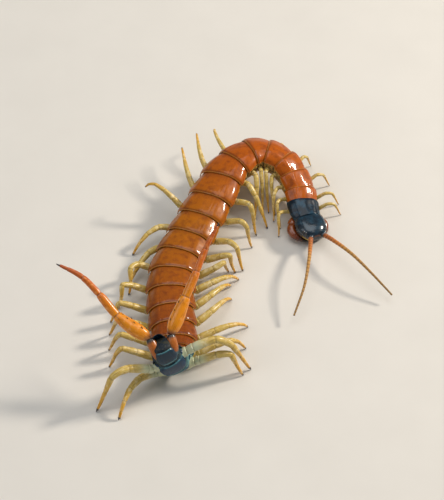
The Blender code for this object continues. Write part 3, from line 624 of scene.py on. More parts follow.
def leg_material(colours):
    """Thin tanned chitin of the walking legs: pale ochre-yellow with lengthwise streaks,
    satin with a soft gloss, yellower at the tips and pale teal at the roots of the tail's."""
    material, tree, shader, place = begin(
        "ochre_chitin_leg", (1.0, 0.6, 0.25), Roughness=0.36, IOR=1.48, Specular_IOR_Level=0.4,
        Coat_Weight=0.2, Coat_Roughness=0.18, Subsurface_Weight=0.10, Subsurface_Scale=0.0008)
    share, pair, neck = (add(tree, "Attribute", "Fac", attribute_name=name)
                         for name in ("share", "pair", "neck"))
    line = streaks(tree, 9.0, 5.0)
    blotch = add(tree, "TexNoise", 0, {0: place, 2: per_metre(1.4), 3: 3.0})
    body = paint(tree, add(tree, "ValToRGB", 0, {0: share}, (
        (0.0, colours.leg), (0.5, colours.leg), (0.85, "dfa52c"), (1.0, "c98a1e"))),
        (line, "8f6f2e", 0.48, 0.70, 0.75), (blotch, "f0dfae", 0.48, 0.72, 0.55))
    # Only the roots of the last two pairs are pale teal
    near = add(tree, "MapRange", 0, {0: share, 1: 0.28, 2: 0.06, 3: 0.0, 4: 1.0}, **SMOOTH)
    tail = add(tree, "MapRange", 0, {0: pair, 1: 18.4, 2: 19.2, 3: 0.0, 4: 1.0}, **SMOOTH)
    root = add(tree, "Math", 0, {0: near, 1: tail}, operation="MULTIPLY")
    body = paint(tree, body, (root, "c6cfae", 0.0, 1.0, 0.85), (neck, "6b5226", 0.6, 1.0, 0.40))
    height = add(tree, "Math", 0, {0: line, 1: blotch}, operation="ADD")
    finish_surface(tree, shader, body, height, 0.3, 0.14)
    return material


def last_leg_material(colours):
    """Thick tanned chitin of the last legs: bright orange with fine lengthwise lines and
    lighter blotches, a satin gloss and a dark ring at each joint."""
    material, tree, shader, place = begin(
        "orange_chitin_last_leg", Roughness=0.34, IOR=1.5, Specular_IOR_Level=0.4, Coat_Weight=0.3,
        Coat_Roughness=0.15, Subsurface_Weight=0.08, Subsurface_Scale=0.0008)
    share, neck = (add(tree, "Attribute", "Fac", attribute_name=name) for name in ("share", "neck"))
    line = streaks(tree, 12.0, 4.0)
    blotch = add(tree, "TexNoise", 0, {0: place, 2: per_metre(1.2), 3: 3.0})
    body = add(tree, "ValToRGB", 0, {0: share}, (
        (0.0, "2a1206"), (0.018, "8a4a0c"), (0.05, colours.last_leg), (0.33, colours.last_leg),
        (0.60, "cf6a12"), (1.0, "a8480e")))
    body = paint(tree, body, (line, "8c3f06", 0.50, 0.72, 0.65), (blotch, "f0a860", 0.52, 0.75, 0.55),
                 (neck, "5a2a0a", 0.6, 1.0, 0.6))
    height = add(tree, "Math", 0, {0: line, 1: blotch}, operation="ADD")
    finish_surface(tree, shader, body, height, 0.3, 0.14)
    return material


def horn_material(colours):
    """Black-brown hardened chitin of claws, fangs and spines: the densest tanning, smooth
    and glassy, brown where it thins."""
    material, tree, shader, place = begin(
        "black_chitin_claw", Roughness=0.22, IOR=1.56, Coat_Weight=0.4, Coat_Roughness=0.08)
    cloud = add(tree, "TexNoise", 0, {0: place, 2: per_metre(0.6), 3: 2.0})
    body = paint(tree, add(tree, "ValToRGB", 0, {0: cloud}, ((0.35, "0e0805"), (0.7, "3a1c0c"))),
                 (cloud, "5a3214", 0.66, 0.8, 0.5))
    finish_surface(tree, shader, body, cloud, 0.15, 0.06)
    return material


def eye_material(colours):
    """Clear corneal lens over black pigment: a hard, wet-looking black dome."""
    material, tree, shader, place = begin(
        "corneal_lens", Roughness=0.06, IOR=1.5, Coat_Weight=1.0, Coat_Roughness=0.03)
    depth = add(tree, "TexNoise", 0, {0: place, 2: per_metre(0.3), 3: 2.0})
    body = add(tree, "ValToRGB", 0, {0: depth}, ((0.35, "050608"), (0.7, "2a1a10")))
    finish_surface(tree, shader, body, depth, 0.05, 0.02)
    return material


def head_material(colours):
    """Heavily tanned chitin of the head shield: blue-black, glossy, with fine pits 0.3 mm
    apart and a brown glow along its thin rim."""
    material, tree, shader, place = begin(
        "blue_black_chitin_head", Roughness=0.26, IOR=1.5, Specular_IOR_Level=0.45, Coat_Weight=0.4,
        Coat_Roughness=0.08)
    edge = add(tree, "Attribute", "Fac", attribute_name="edge")
    cloud = add(tree, "TexNoise", 0, {0: place, 2: per_metre(1.5), 3: 3.0})
    pits = add(tree, "TexVoronoi", "Distance", {0: place, 2: per_metre(0.3)})
    body = paint(tree, add(tree, "ValToRGB", 0, {0: cloud}, ((0.35, colours.dark), (0.7, "163646"))),
                 (edge, "6a3a1c", 0.40, 0.08, 0.7))
    finish_surface(tree, shader, body, pits, 0.15, 0.04)
    return material


def feeler_material(colours):
    """Ringed chitin of the feelers: glossy orange on the first six rings, then dulled by
    dense fine down to a soft yellow-brown."""
    material, tree, shader, place = begin(
        "downy_chitin_feeler", Roughness=0.5, IOR=1.48, Sheen_Weight=0.2, Sheen_Roughness=0.4)
    share, neck = (add(tree, "Attribute", "Fac", attribute_name=name) for name in ("share", "neck"))
    grain = add(tree, "TexNoise", 0, {0: place, 2: per_metre(0.16), 3: 2.0})
    body = add(tree, "ValToRGB", 0, {0: share}, (
        (0.0, "2c1c14"), (0.05, "a8541a"), (0.24, "c8741a"), (0.34, "b98438"), (1.0, "8a6834")))
    body = paint(tree, body, (grain, "ecc884", 0.52, 0.75, 0.4), (neck, "4a2a10", 0.3, 1.0, 0.75))
    finish_surface(tree, shader, body, grain, 0.35, 0.07)
    gloss = add(tree, "MapRange", 0, {0: share, 1: 0.22, 2: 0.30, 3: 0.28, 4: 0.60}, **SMOOTH)
    tree.links.new(gloss, shader.inputs["Roughness"])
    return material


def fang_material(colours):
    """Thick chestnut chitin of the poison claws: glossy, red-brown at the base, darkening
    along each piece to the black point."""
    material, tree, shader, place = begin(
        "chestnut_chitin_fang", Roughness=0.26, IOR=1.52, Coat_Weight=0.4, Coat_Roughness=0.1)
    share, neck = (add(tree, "Attribute", "Fac", attribute_name=name) for name in ("share", "neck"))
    cloud = add(tree, "TexNoise", 0, {0: place, 2: per_metre(1.1), 3: 3.0})
    body = add(tree, "ValToRGB", 0, {0: share}, (
        (0.0, "8a420f"), (0.45, "7a3510"), (0.62, "4a1c08"), (0.76, "160c08"), (1.0, "0a0706")))
    body = paint(tree, body, (cloud, "3e1606", 0.5, 0.75, 0.6), (neck, "1e0d06", 0.5, 1.0, 0.8))
    finish_surface(tree, shader, body, cloud, 0.2, 0.12)
    return material


def coxa_material(colours):
    """Porous chitin of the swollen bases of the last legs: orange-brown, satin, pricked
    with gland pores 0.25 mm apart, teal at the root and black at the joint."""
    material, tree, shader, place = begin(
        "porous_chitin_base", Roughness=0.34, IOR=1.5, Specular_IOR_Level=0.4, Coat_Weight=0.3,
        Coat_Roughness=0.15)
    share = add(tree, "Attribute", "Fac", attribute_name="share")
    cloud = add(tree, "TexNoise", 0, {0: place, 2: per_metre(1.3), 3: 3.0})
    pores = add(tree, "TexVoronoi", "Distance", {0: place, 2: per_metre(0.25)})
    body = add(tree, "ValToRGB", 0, {0: share}, (
        (0.0, "2c5259"), (0.14, "2c5259"), (0.24, "a8581c"), (0.78, "b0621c"), (0.90, "140d0a"),
        (1.0, "0c0807")))
    body = paint(tree, body, (cloud, "6a2c0a", 0.48, 0.75, 0.6), (pores, "2c1206", 0.26, 0.08, 0.6))
    finish_surface(tree, shader, body, pores, 0.35, 0.07)
    return material


def floor_material(colours):
    """Matt painted board: pale warm grey, with the faint unevenness of a roller."""
    material, tree, shader, place = begin("matt_painted_board", Roughness=0.85, Specular_IOR_Level=0.2)
    cloud = add(tree, "TexNoise", 0, {0: place, 2: per_metre(18.0), 3: 3.0})
    nap = add(tree, "TexNoise", 0, {0: place, 2: per_metre(1.2), 3: 2.0})
    body = add(tree, "ValToRGB", 0, {0: cloud}, ((0.3, colours.floor), (0.7, "d9d4cb")))
    finish_surface(tree, shader, body, nap, 0.05, 0.05)
    return material


def edge_round(distance, size):
    """Thickness factor near an edge: a quarter circle from a third at the edge to full."""
    share = np.clip(distance / size, 0.0, 1.0)
    return 0.30 + 0.70 * np.sqrt(1.0 - (1.0 - share) ** 2)


def back_plate(surface, number, sizes):
    """One back plate. Its middle face is the plate arch times half width and half height,
    swollen along the segment; it runs under the rear rim of the plate in front. Two grooves
    sink it at three tenths of its arch to each side, and the side rims stand up slightly."""
    length = PLATE_LENGTHS[number - 1]
    start = TRUNK.rear[number]
    first = LAST_PLATE[0][0] if number == SEGMENTS else 0.0
    share = first + (1.10 - first) * np.concatenate([np.linspace(0.0, 0.10, 8), np.linspace(0.14, 1.0, 22)])
    rear = (share - first) * length
    along = start + share * length
    count = 97
    curve = arch(PLATE_ARCH, count)
    t = np.linspace(-1.0, 1.0, count)
    width, height = TRUNK.sizes(along)
    rise = station(smooth_line(PLATE_RISE, 6), share)
    wide, high = rise, rise
    if number == SEGMENTS:
        shape = smooth_line(LAST_PLATE, 6)
        wide = np.interp(share, shape[:, 0], shape[:, 1])
        high = np.interp(share, shape[:, 0], shape[:, 2])
    # The rear edge is a shallow bow, so the corners reach a little further back
    shift = -0.22 * np.abs(t) ** 3 * (1.0 - smooth_step(0.0, 0.25, share))[:, None]
    along_grid = np.broadcast_to(along[:, None], (len(share), count)) + shift
    edge = (1.0 - np.abs(t)) * float(width.mean()) * 1.35
    rim = 0.10 * np.exp(-((edge - 0.35) / 0.22) ** 2) * (number >= 7)
    groove = np.zeros(count)
    if 2 <= number <= 20:
        depth = sizes.suture_depth / METRE
        for middle in (-0.30, 0.30):
            groove += depth * np.exp(-((t - middle) * float(width.mean()) * 1.35 / 0.17) ** 2)
    if number == SEGMENTS:
        groove += 0.08 * np.exp(-(t / 0.05) ** 2)
    # Faint dents to each side of the middle make the plate's gloss uneven, as in life
    dent = 0.05 * np.sin(share * math.pi)[:, None] * np.cos(t * 5.2 * math.pi)[None, :]
    offset = (rim - groove)[None, :] + dent
    thick = sizes.plate_thickness / METRE * edge_round(edge, 0.5)[None, :] * edge_round(rear, 0.9)[:, None]
    grids = []
    for sign in (0.5, -0.5):
        away = offset + sign * thick
        x = curve[None, :, 0] * (width * wide)[:, None] * (1.0 + away / width[:, None])
        drop = (1.0 - curve[None, :, 1]) * np.minimum(wide / high, 1.0)[:, None] ** 1.5
        y = (1.0 - drop) * (height * high)[:, None] * (1.0 + away / height[:, None])
        grids.append(TRUNK.place(along_grid, x, y))
    dark = float(number in (1, 20, 21))
    surface.add_shell(grids[0], grids[1], along=(NECK - along)[:, None] / NECK, rear=rear[:, None],
                      edge=np.broadcast_to(edge, (len(share), count)), dark=dark)


def belly_plate(surface, number):
    """One belly plate: the belly arch times half width and half height, a little wider at
    the front, with two long grooves."""
    length = PLATE_LENGTHS[number - 1]
    start = TRUNK.rear[number]
    tail = number >= 19
    share = np.linspace(0.04 if tail else 0.02, 0.84 if tail else 1.06, 22)
    along = start + share * length
    count = 57
    curve = arch(BELLY_ARCH, count)
    t = np.linspace(-1.0, 1.0, count)
    width, height = TRUNK.sizes(along)
    narrow = station(((0.0, 0.93), (0.5, 1.0), (1.1, 0.95)), share)
    rear = (share - share[0]) * length
    front = (share[-1] - share) * length
    if tail:
        narrow = narrow * (0.80 + 0.20 * np.sqrt(smooth_step(0.0, 1.3, np.minimum(rear, front))))
    edge = (1.0 - np.abs(t)) * float(width.mean()) * 0.85
    groove = sum(0.09 * np.exp(-((t - middle) / 0.035) ** 2) for middle in (-0.42, 0.42))
    swell = 0.10 * np.sin(np.clip(share, 0, 1) * math.pi)
    thick = 0.3 * edge_round(edge, 0.5)[None, :] * edge_round(rear, 0.4)[:, None]
    grids = []
    for sign in (0.5, -0.5):
        away = swell[:, None] - groove[None, :] + sign * thick + 0.06
        x = curve[None, :, 0] * (width * narrow)[:, None] * (1.0 + away / width[:, None])
        y = curve[None, :, 1] * height[:, None] * (1.0 + away / height[:, None])
        grids.append(TRUNK.place(along[:, None] + np.zeros(count), x, y))
    ends = np.minimum(rear, front)
    surface.add_shell(grids[0], grids[1], along=(NECK - along)[:, None] / NECK, rear=rear[:, None],
                      edge=np.broadcast_to(edge, (len(share), count)), ends=ends[:, None])


def skin_rings(along, sides, fold):
    """The soft skin's rings: the skin arch times half width and half height, with folds
    that run round the trunk, deepest between two segments."""
    curve = closed_arch(SKIN_ARCH, sides)
    width, height = TRUNK.sizes(along)
    segment = TRUNK.segment_at(along)
    near = np.abs(segment - np.round(segment))
    waist = 0.045 * np.exp(-(near / 0.09) ** 2)
    ripple = fold * (np.sin(along * 2 * math.pi / 0.85)[:, None] * 0.6
                     + np.sin(along[:, None] * 2 * math.pi / 1.9 + curve[None, :, 1] * 5.0) * 0.7)
    size = 1.0 - waist[:, None]
    x = curve[None, :, 0] * (width[:, None] * size + ripple)
    y = curve[None, :, 1] * (height[:, None] * size + ripple)
    # How deep each point lies in the folds, lowest in their troughs and at the waists; the skin's material
    # paints shade where it is low
    depth = ripple / fold * 0.4 + 0.5 - waist[:, None] * 8.0
    return TRUNK.place(along[:, None] + np.zeros(sides), x, y), depth


def closed_arch(half, sides):
    """A closed section: the smooth curve through a half section and its mirror image."""
    half = np.array(half)
    both = np.vstack([half, half[-2:0:-1] * [-1, 1]])
    ends = np.vstack([both[-1], both, both[:2]])
    line = smooth_line(ends, 12)[12:-12]
    along = lengths_along(line)
    share = np.arange(sides) / sides
    return np.stack([np.interp(share * along[-1], along, line[:, i]) for i in range(2)], -1)


def flank_point(along, level):
    """Across and up of a point on the flank; level goes from 0 at the plate's side
    edge to 1 at the belly plate's edge."""
    width, height = TRUNK.sizes(along)
    lower = np.array(SKIN_ARCH[5:9])
    place = np.linspace(0.0, 1.0, len(lower))
    x = np.interp(level, place, lower[:, 0]) * width
    y = np.interp(level, place, lower[:, 1]) * height
    return x, y


def flank_patch(surface, side, along, level, half_along, half_level, bulge, finish=0, hollow=0.0, **values):
    """A small oval plate on the flank: rings of an oval, raised by bulge times one minus the
    fourth power of the way out from its middle, less a hollow in the middle."""
    rho = np.array([0.0, 0.25, 0.5, 0.7, 0.85, 0.95, 1.0])
    turns = np.arange(20) * 2 * math.pi / 20
    power = np.abs(np.cos(turns)) ** 3 + np.abs(np.sin(turns)) ** 3
    stretch = power ** (-1 / 3)
    s = along + half_along * rho[:, None] * np.cos(turns) * stretch
    v = level + half_level * rho[:, None] * np.sin(turns) * stretch
    x, y = flank_point(s, v)
    lift = bulge * (1 - rho ** 4)[:, None] - hollow * np.exp(-(rho / 0.45) ** 2)[:, None]
    x = side * (x + lift)
    y = y - lift * 0.35
    rings = np.concatenate([TRUNK.place(s, x, y), TRUNK.place(s[-1:], x[-1:] - side * 0.35, y[-1:])])
    surface.add_tube(rings, finish, along=(NECK - along) / NECK, fold=0.6, **values)


def hip(pair, side):
    """Where a walking leg's stub ends, and the way it points. Side is 1 on the right."""
    place = station(HIP_PLACE, pair)
    along = TRUNK.rear[pair] + place * PLATE_LENGTHS[pair - 1]
    centre, forward, right, back = TRUNK.frame(along)
    segment = pair - place
    way = unit(side * right - HIP_DROOP * back)
    root = centre + right * side * station(HALF_WIDTH, segment) * HIP_OUT
    root = root - back * station(HALF_HEIGHT, segment) * station(HIP_LOW, pair)
    return root + way * station(COXA_OUT, pair), way, forward


def leg_line(pair, side):
    """Smooth way of a leg: a cubic curve that leaves the hip, rises to the knee and comes
    down to the foot, drawn tighter or looser until it has the leg's length."""
    start, way, _ = hip(pair, side)
    start = start + way * HIP_GAP
    bearing = math.radians(station(BEARING_RIGHT if side > 0 else BEARING_LEFT, pair))
    reach = station(REACH_RIGHT if side > 0 else REACH_LEFT, pair)
    rise = math.radians(station(RISE_RIGHT if side > 0 else RISE_LEFT, pair))
    shin_share = station(SHIN_RIGHT if side > 0 else SHIN_LEFT, pair)
    straight = station(LEAVE_RIGHT if side > 0 else LEAVE_LEFT, pair)
    outward = np.array([math.cos(bearing), math.sin(bearing), 0.0])
    foot = start + reach * outward
    foot[2] = station(LIFT_LEFT, pair) if side < 0 else 0.0
    leave = unit(straight * unit(way * [1.0, 1.0, 0.0]) + outward)
    up = np.array([0.0, 0.0, 1.0])
    wanted = station(LEG_LENGTH, pair)
    share = np.linspace(0.0, 1.0, 60)[:, None]
    short, long = 1.0, 25.0
    for _ in range(30):
        pull = (short + long) / 2
        knee = start + pull * (leave * math.cos(rise) + up * math.sin(rise))
        shin = foot + shin_share * pull * (0.9 * up - 0.42 * outward)
        line = ((1 - share) ** 3 * start + 3 * (1 - share) ** 2 * share * knee
                + 3 * (1 - share) * share ** 2 * shin + share ** 3 * foot)
        if lengths_along(line)[-1] > wanted:
            long = pull
        else:
            short = pull
    return line, outward, way


def cone(surface, root, way, radius, length, bend=None, finish=1, **values):
    """A curved spine: its line bows towards bend, its radius falls as one minus the share
    of its length to the power 1.3."""
    share = np.linspace(0.0, 1.0, 8)
    bend = np.zeros(3) if bend is None else bend
    line = root + np.outer(share - 0.35, way) * length + np.outer(share ** 2, bend) * length * 0.3
    radii = radius * np.maximum(1 - share ** 1.3, 0.03)
    across = np.array([0.0, 0.0, 1.0]) if abs(way[2]) < 0.9 else np.array([1.0, 0.0, 0.0])
    surface.add_tube(ring_points(line, radii, across, 8), finish, **values)


def walking_leg(pair, side):
    """One walking leg: a stub on the flank, then seven pieces and a claw. The line is about
    half the smooth curve and half the straight lines between the joints, and the radius is the
    leg's taper times the swelling of its pieces."""
    surface = Surface()
    line, outward, way = leg_line(pair, side)
    shares = podomere_shares(LEG_JOINTS)
    curve = at_shares(line, shares)
    joints = at_shares(line, LEG_JOINTS)
    straight = np.stack([np.interp(shares, LEG_JOINTS, joints[:, i]) for i in range(3)], -1)
    bent = 0.45 * curve + 0.55 * straight
    radius = float(station(LEG_RADIUS, pair))
    swell, neck = podomere_swell(shares, LEG_JOINTS, 0.11, 0.02)
    radii = radius * station(LEG_TAPER, shares) * swell
    across = np.cross(outward, [0.0, 0.0, 1.0])
    sides = 16
    turn = np.arange(sides) / sides
    claw = int(np.searchsorted(shares, LEG_JOINTS[-2]))
    rings = ring_points(bent, radii, across, sides, 0.94)
    rings[..., 2] = np.maximum(rings[..., 2], 0.0)
    common = {"pair": float(pair)}
    surface.add_tube(rings[:claw + 1], 0, share=shares[:claw + 1, None], turn=turn[None, :],
                     neck=neck[:claw + 1, None], **common)
    # The claw is drawn out and curved in to a point that just meets the floor
    tip = bent[-1]
    base = bent[claw]
    claw_share = np.linspace(0.0, 1.0, 12)
    bow = unit(outward * 0.6 + np.array([0.0, 0.0, 0.35])) * 0.10 * np.linalg.norm(tip - base)
    claw_line = (base + np.outer(claw_share - 0.08, tip - base) / 0.92
                 + np.outer(np.sin(claw_share * math.pi), bow))
    claw_radius = radius * 0.30 * np.maximum(1 - claw_share ** 1.6, 0.10)
    claw_rings = ring_points(claw_line, claw_radius, across, 10)
    claw_rings[..., 2] = np.maximum(claw_rings[..., 2], 0.0)
    surface.add_tube(claw_rings, 1, share=1.0, turn=0.0, neck=0.0, **common)
    # A spur stands at the end of the fourth piece, and two small ones beside the claw
    for where, turn_side, length in ((0.72, 1.0, 0.34), (0.955, 1.0, 0.26), (0.955, -1.0, 0.26)):
        place = at_shares(line, [where])[0]
        ahead = unit(at_shares(line, [min(where + 0.03, 1.0)])[0] - place)
        cone(surface, place + across * turn_side * radius * float(station(LEG_TAPER, where)) * 0.85,
             unit(ahead + 0.45 * across * turn_side), radius * 0.13, radius * length * 2.2,
             share=1.0, turn=0.0, neck=0.0, **common)
    # The stub: it widens into the flank behind and ends square at the hip
    end, way, forward = hip(pair, side)
    out = float(station(COXA_OUT, pair))
    stub_share = np.linspace(0.0, 1.0, 14)
    stub_line = end + np.outer((stub_share - 1.0) * (out + 1.7) + 0.12, way)
    depth = (1.0 - stub_share) * (out + 1.7)
    flare = 1.13 + 0.40 * smooth_step(out * 0.5, out + 1.2, depth)
    flare = flare * (1.0 - 0.15 * smooth_step(0.93, 1.0, stub_share))
    stub = ring_points(stub_line, radius * flare, forward, sides)
    surface.add_tube(stub, 2, share=0.0, turn=turn[None, :], pair=float(pair),
                     neck=smooth_step(0.9, 1.0, stub_share)[:, None] * 0.9)
    return surface


def last_leg_start(side):
    """Joints of a last leg, the first moved out of its base, and the way it starts."""
    joints = np.array(LAST_LEG_RIGHT if side > 0 else LAST_LEG_LEFT)
    way = unit(joints[1] - joints[0])
    joints[0] += way * LAST_LEG_OUT
    return joints, way


def last_leg(side, sizes):
    """A last leg: five pieces and a claw on the smooth line through its joints, with rows of
    spines on the inner and lower sides of the thick first piece and one at its corner."""
    surface = Surface()
    joints, way = last_leg_start(side)
    line = smooth_line(joints, 16)
    shares = podomere_shares(LAST_LEG_JOINTS)
    bent = at_shares(line, shares)
    swell, neck = podomere_swell(shares, LAST_LEG_JOINTS, 0.13, 0.02)
    radii = station(LAST_LEG_TAPER, shares) * swell
    _, _, right, back = TRUNK.frame(1.0)
    sides = 24
    turn = np.arange(sides) / sides
    claw = int(np.searchsorted(shares, LAST_LEG_JOINTS[-2]))
    rings = ring_points(bent, radii, right, sides, 0.93)
    surface.add_tube(rings[:claw + 1], 0, share=shares[:claw + 1, None], turn=turn[None, :],
                     neck=neck[:claw + 1, None])
    claw_line = bent[claw:] + np.outer(np.sin(np.linspace(0, math.pi, len(bent) - claw)), -back) * 0.12
    claw_radius = radii[claw] * np.maximum(1 - np.linspace(0, 1, len(bent) - claw) ** 1.5, 0.06)
    surface.add_tube(ring_points(claw_line, claw_radius, right, 12), 1, share=1.0, turn=0.0, neck=0.0)
    inward = unit(-side * right - way * (-side * right @ way))
    lower = unit(np.cross(way, inward)) * side
    length = sizes.spine_length / METRE
    span = joints[1] - joints[0]
    for row, (lean, places) in enumerate(SPINE_ROWS):
        way_out = unit(inward * lean[0] + lower * lean[1])
        for place in places:
            local = float(station(LAST_LEG_TAPER, place * LAST_LEG_JOINTS[1])) * 0.96
            cone(surface, joints[0] + span * place + way_out * local, unit(way_out + 0.9 * way), 0.20,
                 length * (0.85 if row else 1.0), bend=way, share=1.0, turn=0.0, neck=0.0)
    corner = joints[0] + span * 0.93 + inward * 1.15 + lower * 0.5
    cone(surface, corner, unit(inward * 0.7 + way), 0.42, length * 1.35, bend=way, finish=0,
         share=0.30, turn=0.0, neck=0.0)
    for turned in (-0.4, 0.5):
        cone(surface, corner + unit(inward * 0.7 + way) * length * 0.5 + lower * turned * 0.4,
             unit(inward + way + lower * turned * 2), 0.11, length * 0.5, share=1.0, turn=0.0, neck=0.0)
    return surface


def last_coxa(side):
    """The swollen base of a last leg, lofted from inside the tail out to the leg's start."""
    joints, way = last_leg_start(side)
    centre, forward, right, back = TRUNK.frame(LAST_COXA_ALONG)
    root = centre + right * side * LAST_COXA_OUT - back * LAST_COXA_LOW
    end = joints[0] + way * 0.1
    line = smooth_line((root, (root + end) / 2 - back * 0.25 - forward * 0.35, end), 12)
    share = np.linspace(0.0, 1.0, 24)
    radii = station(((0.0, 1.1), (0.4, 1.5), (0.72, 1.42), (0.88, 1.28), (0.95, 1.12), (1.0, 1.0)), share)
    surface = Surface()
    surface.add_tube(ring_points(at_shares(line, share), radii, right, 28), 0, share=share[:, None])
    # Two tiny spines stand on the inner end of each base
    for lift in (0.35, -0.45):
        place = at_shares(line, [0.80])[0] - right * side * 1.2 + back * lift
        cone(surface, place, unit(way - right * side * 0.5), 0.12, 0.5, share=1.0)
    return surface


def head_half(t):
    """Half width, half height and drop of the head at distances in front of the neck."""
    return [np.interp(t, HEAD_SIZES[:, 0], HEAD_SIZES[:, i]) for i in (1, 2, 3)]


def head_point(t, angle, grow=0.0):
    """A point of the head's surface: an oval section, squared a little, at a distance in
    front of the neck and an angle from the right side over the top."""
    width, height, drop = head_half(t)
    x = np.sign(np.cos(angle)) * np.abs(np.cos(angle)) ** 0.85 * (width + grow)
    y = np.sign(np.sin(angle)) * np.abs(np.sin(angle)) ** 0.85 * (height + grow) - drop
    return TRUNK.place(NECK + t, x, y)


def head_shield(surface):
    """The head shield: a thin plate over the top of the head whose rim stands out all
    round, with a faint lengthwise furrow at the rear and a crease behind the eyes."""
    rows, count = 44, 73
    t = np.linspace(0.12, 8.30, rows)
    spread = np.linspace(-1.0, 1.0, count)
    angle = (math.pi / 2 - spread * (math.pi / 2 + 0.10))
    t_grid = np.broadcast_to(t[:, None], (rows, count))
    angle_grid = np.broadcast_to(angle[None, :], (rows, count))
    width = head_half(t)[0]
    edge = np.minimum((1 - np.abs(spread))[None, :] * width[:, None] * 1.4,
                      np.minimum(t - 0.12, 8.35 - t)[:, None])
    rim = 0.09 * np.exp(-((edge - 0.22) / 0.16) ** 2)
    furrow = 0.07 * np.exp(-(spread / 0.05) ** 2)[None, :] * smooth_step(3.6, 0.6, t)[:, None]
    crease = sum(0.05 * np.exp(-((spread[None, :] - (0.36 + 0.02 * t[:, None]) * turn) / 0.03) ** 2)
                 for turn in (-1, 1)) * smooth_step(5.4, 2.0, t)[:, None]
    lift = 0.10 + rim - furrow - crease
    thick = 0.30 * edge_round(edge, 0.4)
    outer = head_point(t_grid, angle_grid, lift + thick / 2)
    inner = head_point(t_grid, angle_grid, lift - thick / 2)
    surface.add_shell(outer, inner, 0, edge=edge)


def eye(surface, side, t, angle, radius):
    """An eye: a low dome whose rings follow a circle, standing out of the head."""
    turned = angle if side > 0 else math.pi - angle
    place = head_point(np.array(t), np.array(turned), 0.12)
    centre = TRUNK.place(np.array(NECK + t), 0.0, 0.0)
    way = unit(place - centre + TRUNK.frame(NECK + t)[1] * 0.9)
    ring = np.linspace(0.0, 1.0, 9)[::-1] * math.pi * 0.62
    line = place + np.outer(np.cos(ring), way) * radius * 0.8
    radii = np.maximum(np.sin(ring), 0.02) * radius
    surface.add_tube(ring_points(line, radii, np.array([0.0, 0.0, 1.0]), 20), 0)


def head_core(surface):
    """The head under its shield, closed at the neck and the front."""
    t = np.concatenate([[-0.35], np.linspace(0.0, 8.38, 36)])
    angle = np.arange(48) * 2 * math.pi / 48
    rings = head_point(np.clip(t, 0.0, 9.0)[:, None], angle[None, :])
    rings = rings + TRUNK.frame(NECK)[1] * np.minimum(t, 0.0)[:, None, None]
    surface.add_tube(rings, 0, edge=2.0)


def feeler_root(side):
    """Where a feeler leaves the head, its way, and the head's directions there."""
    centre, forward, right, back = TRUNK.frame(NECK + HEAD_LENGTH * 0.90)
    way = unit(0.80 * forward + 0.55 * side * right + 0.25 * back)
    return centre + right * side * 1.75 + back * 0.35 + way * 0.9, way, forward, right, back


def feeler(side):
    """A feeler: 25 rings on a smooth line, each narrow at its root and fullest near its
    end, tapering to a rounded tip."""
    surface = Surface()
    end, way, forward, right, back = feeler_root(side)
    flat_forward = unit(forward * [1.0, 1.0, 0.0])
    flat_right = unit(right * [1.0, 1.0, 0.0])
    up = np.array([0.0, 0.0, 1.0])
    outs = (0.0, 1.9, 5.2, 9.6, 15.5) if side > 0 else (0.0, 1.7, 4.4, 7.4, 11.0)
    forwards = (0.0, 4.2, 11.0, 18.5, 25.5) if side > 0 else (0.0, 4.4, 12.0, 20.0, 28.0)
    rises = (0.0, 1.1, 2.0, 0.8, -2.2)
    start = end - way * 0.5
    points = [start + flat_forward * ahead + flat_right * side * out + up * rise
              for ahead, out, rise in zip(forwards, outs, rises)]
    line = smooth_line(points, 16)
    # The rings of the feeler are longest in its middle
    lengths = 0.75 + 0.5 * np.sin(np.linspace(0.1, 0.9, 25) * math.pi)
    joints = np.concatenate([[0.0], np.cumsum(lengths)]) / lengths.sum()
    local = np.array([0.0, 0.10, 0.25, 0.55, 0.82, 0.95])
    inner = joints[:-1, None] + local[None] * np.diff(joints)[:, None]
    shares = np.concatenate([inner.reshape(-1), [0.994, 1.0]])
    number = np.clip(np.searchsorted(joints, shares, side="right") - 1, 0, 24)
    place = (shares - joints[number]) / np.diff(joints)[number]
    neck = 1 - smooth_step(0.0, 0.28, place) * (1 - smooth_step(0.90, 1.0, place))
    radii = (FEELER_RADIUS + (0.27 - FEELER_RADIUS) * shares ** 0.8) * (1.05 + 0.05 * place - 0.17 * neck)
    radii[-2:] = (0.20, 0.06)
    rings = ring_points(at_shares(line, shares), radii, up, 14)
    surface.add_tube(rings, 0, share=shares[:, None], neck=neck[:, None])
    # The socket is a low collar on the head
    collar_share = np.linspace(0.0, 1.0, 8)
    collar = end + np.outer((collar_share - 0.8) * 1.9, way)
    collar_radius = FEELER_RADIUS * station(COLLAR, collar_share)
    surface.add_tube(ring_points(collar, collar_radius, back, 20), 1, share=0.0, neck=0.0, edge=1.0)
    return surface


def claw_root(side):
    """Where a poison claw leaves the first segment, its way, and the directions there."""
    centre, forward, right, back = TRUNK.frame(NECK - 1.0)
    way = unit(0.50 * side * right + 0.72 * forward - 0.28 * back)
    end = centre + right * side * 4.05 - back * 2.0 + way * 1.2
    return end, way, forward, right, back


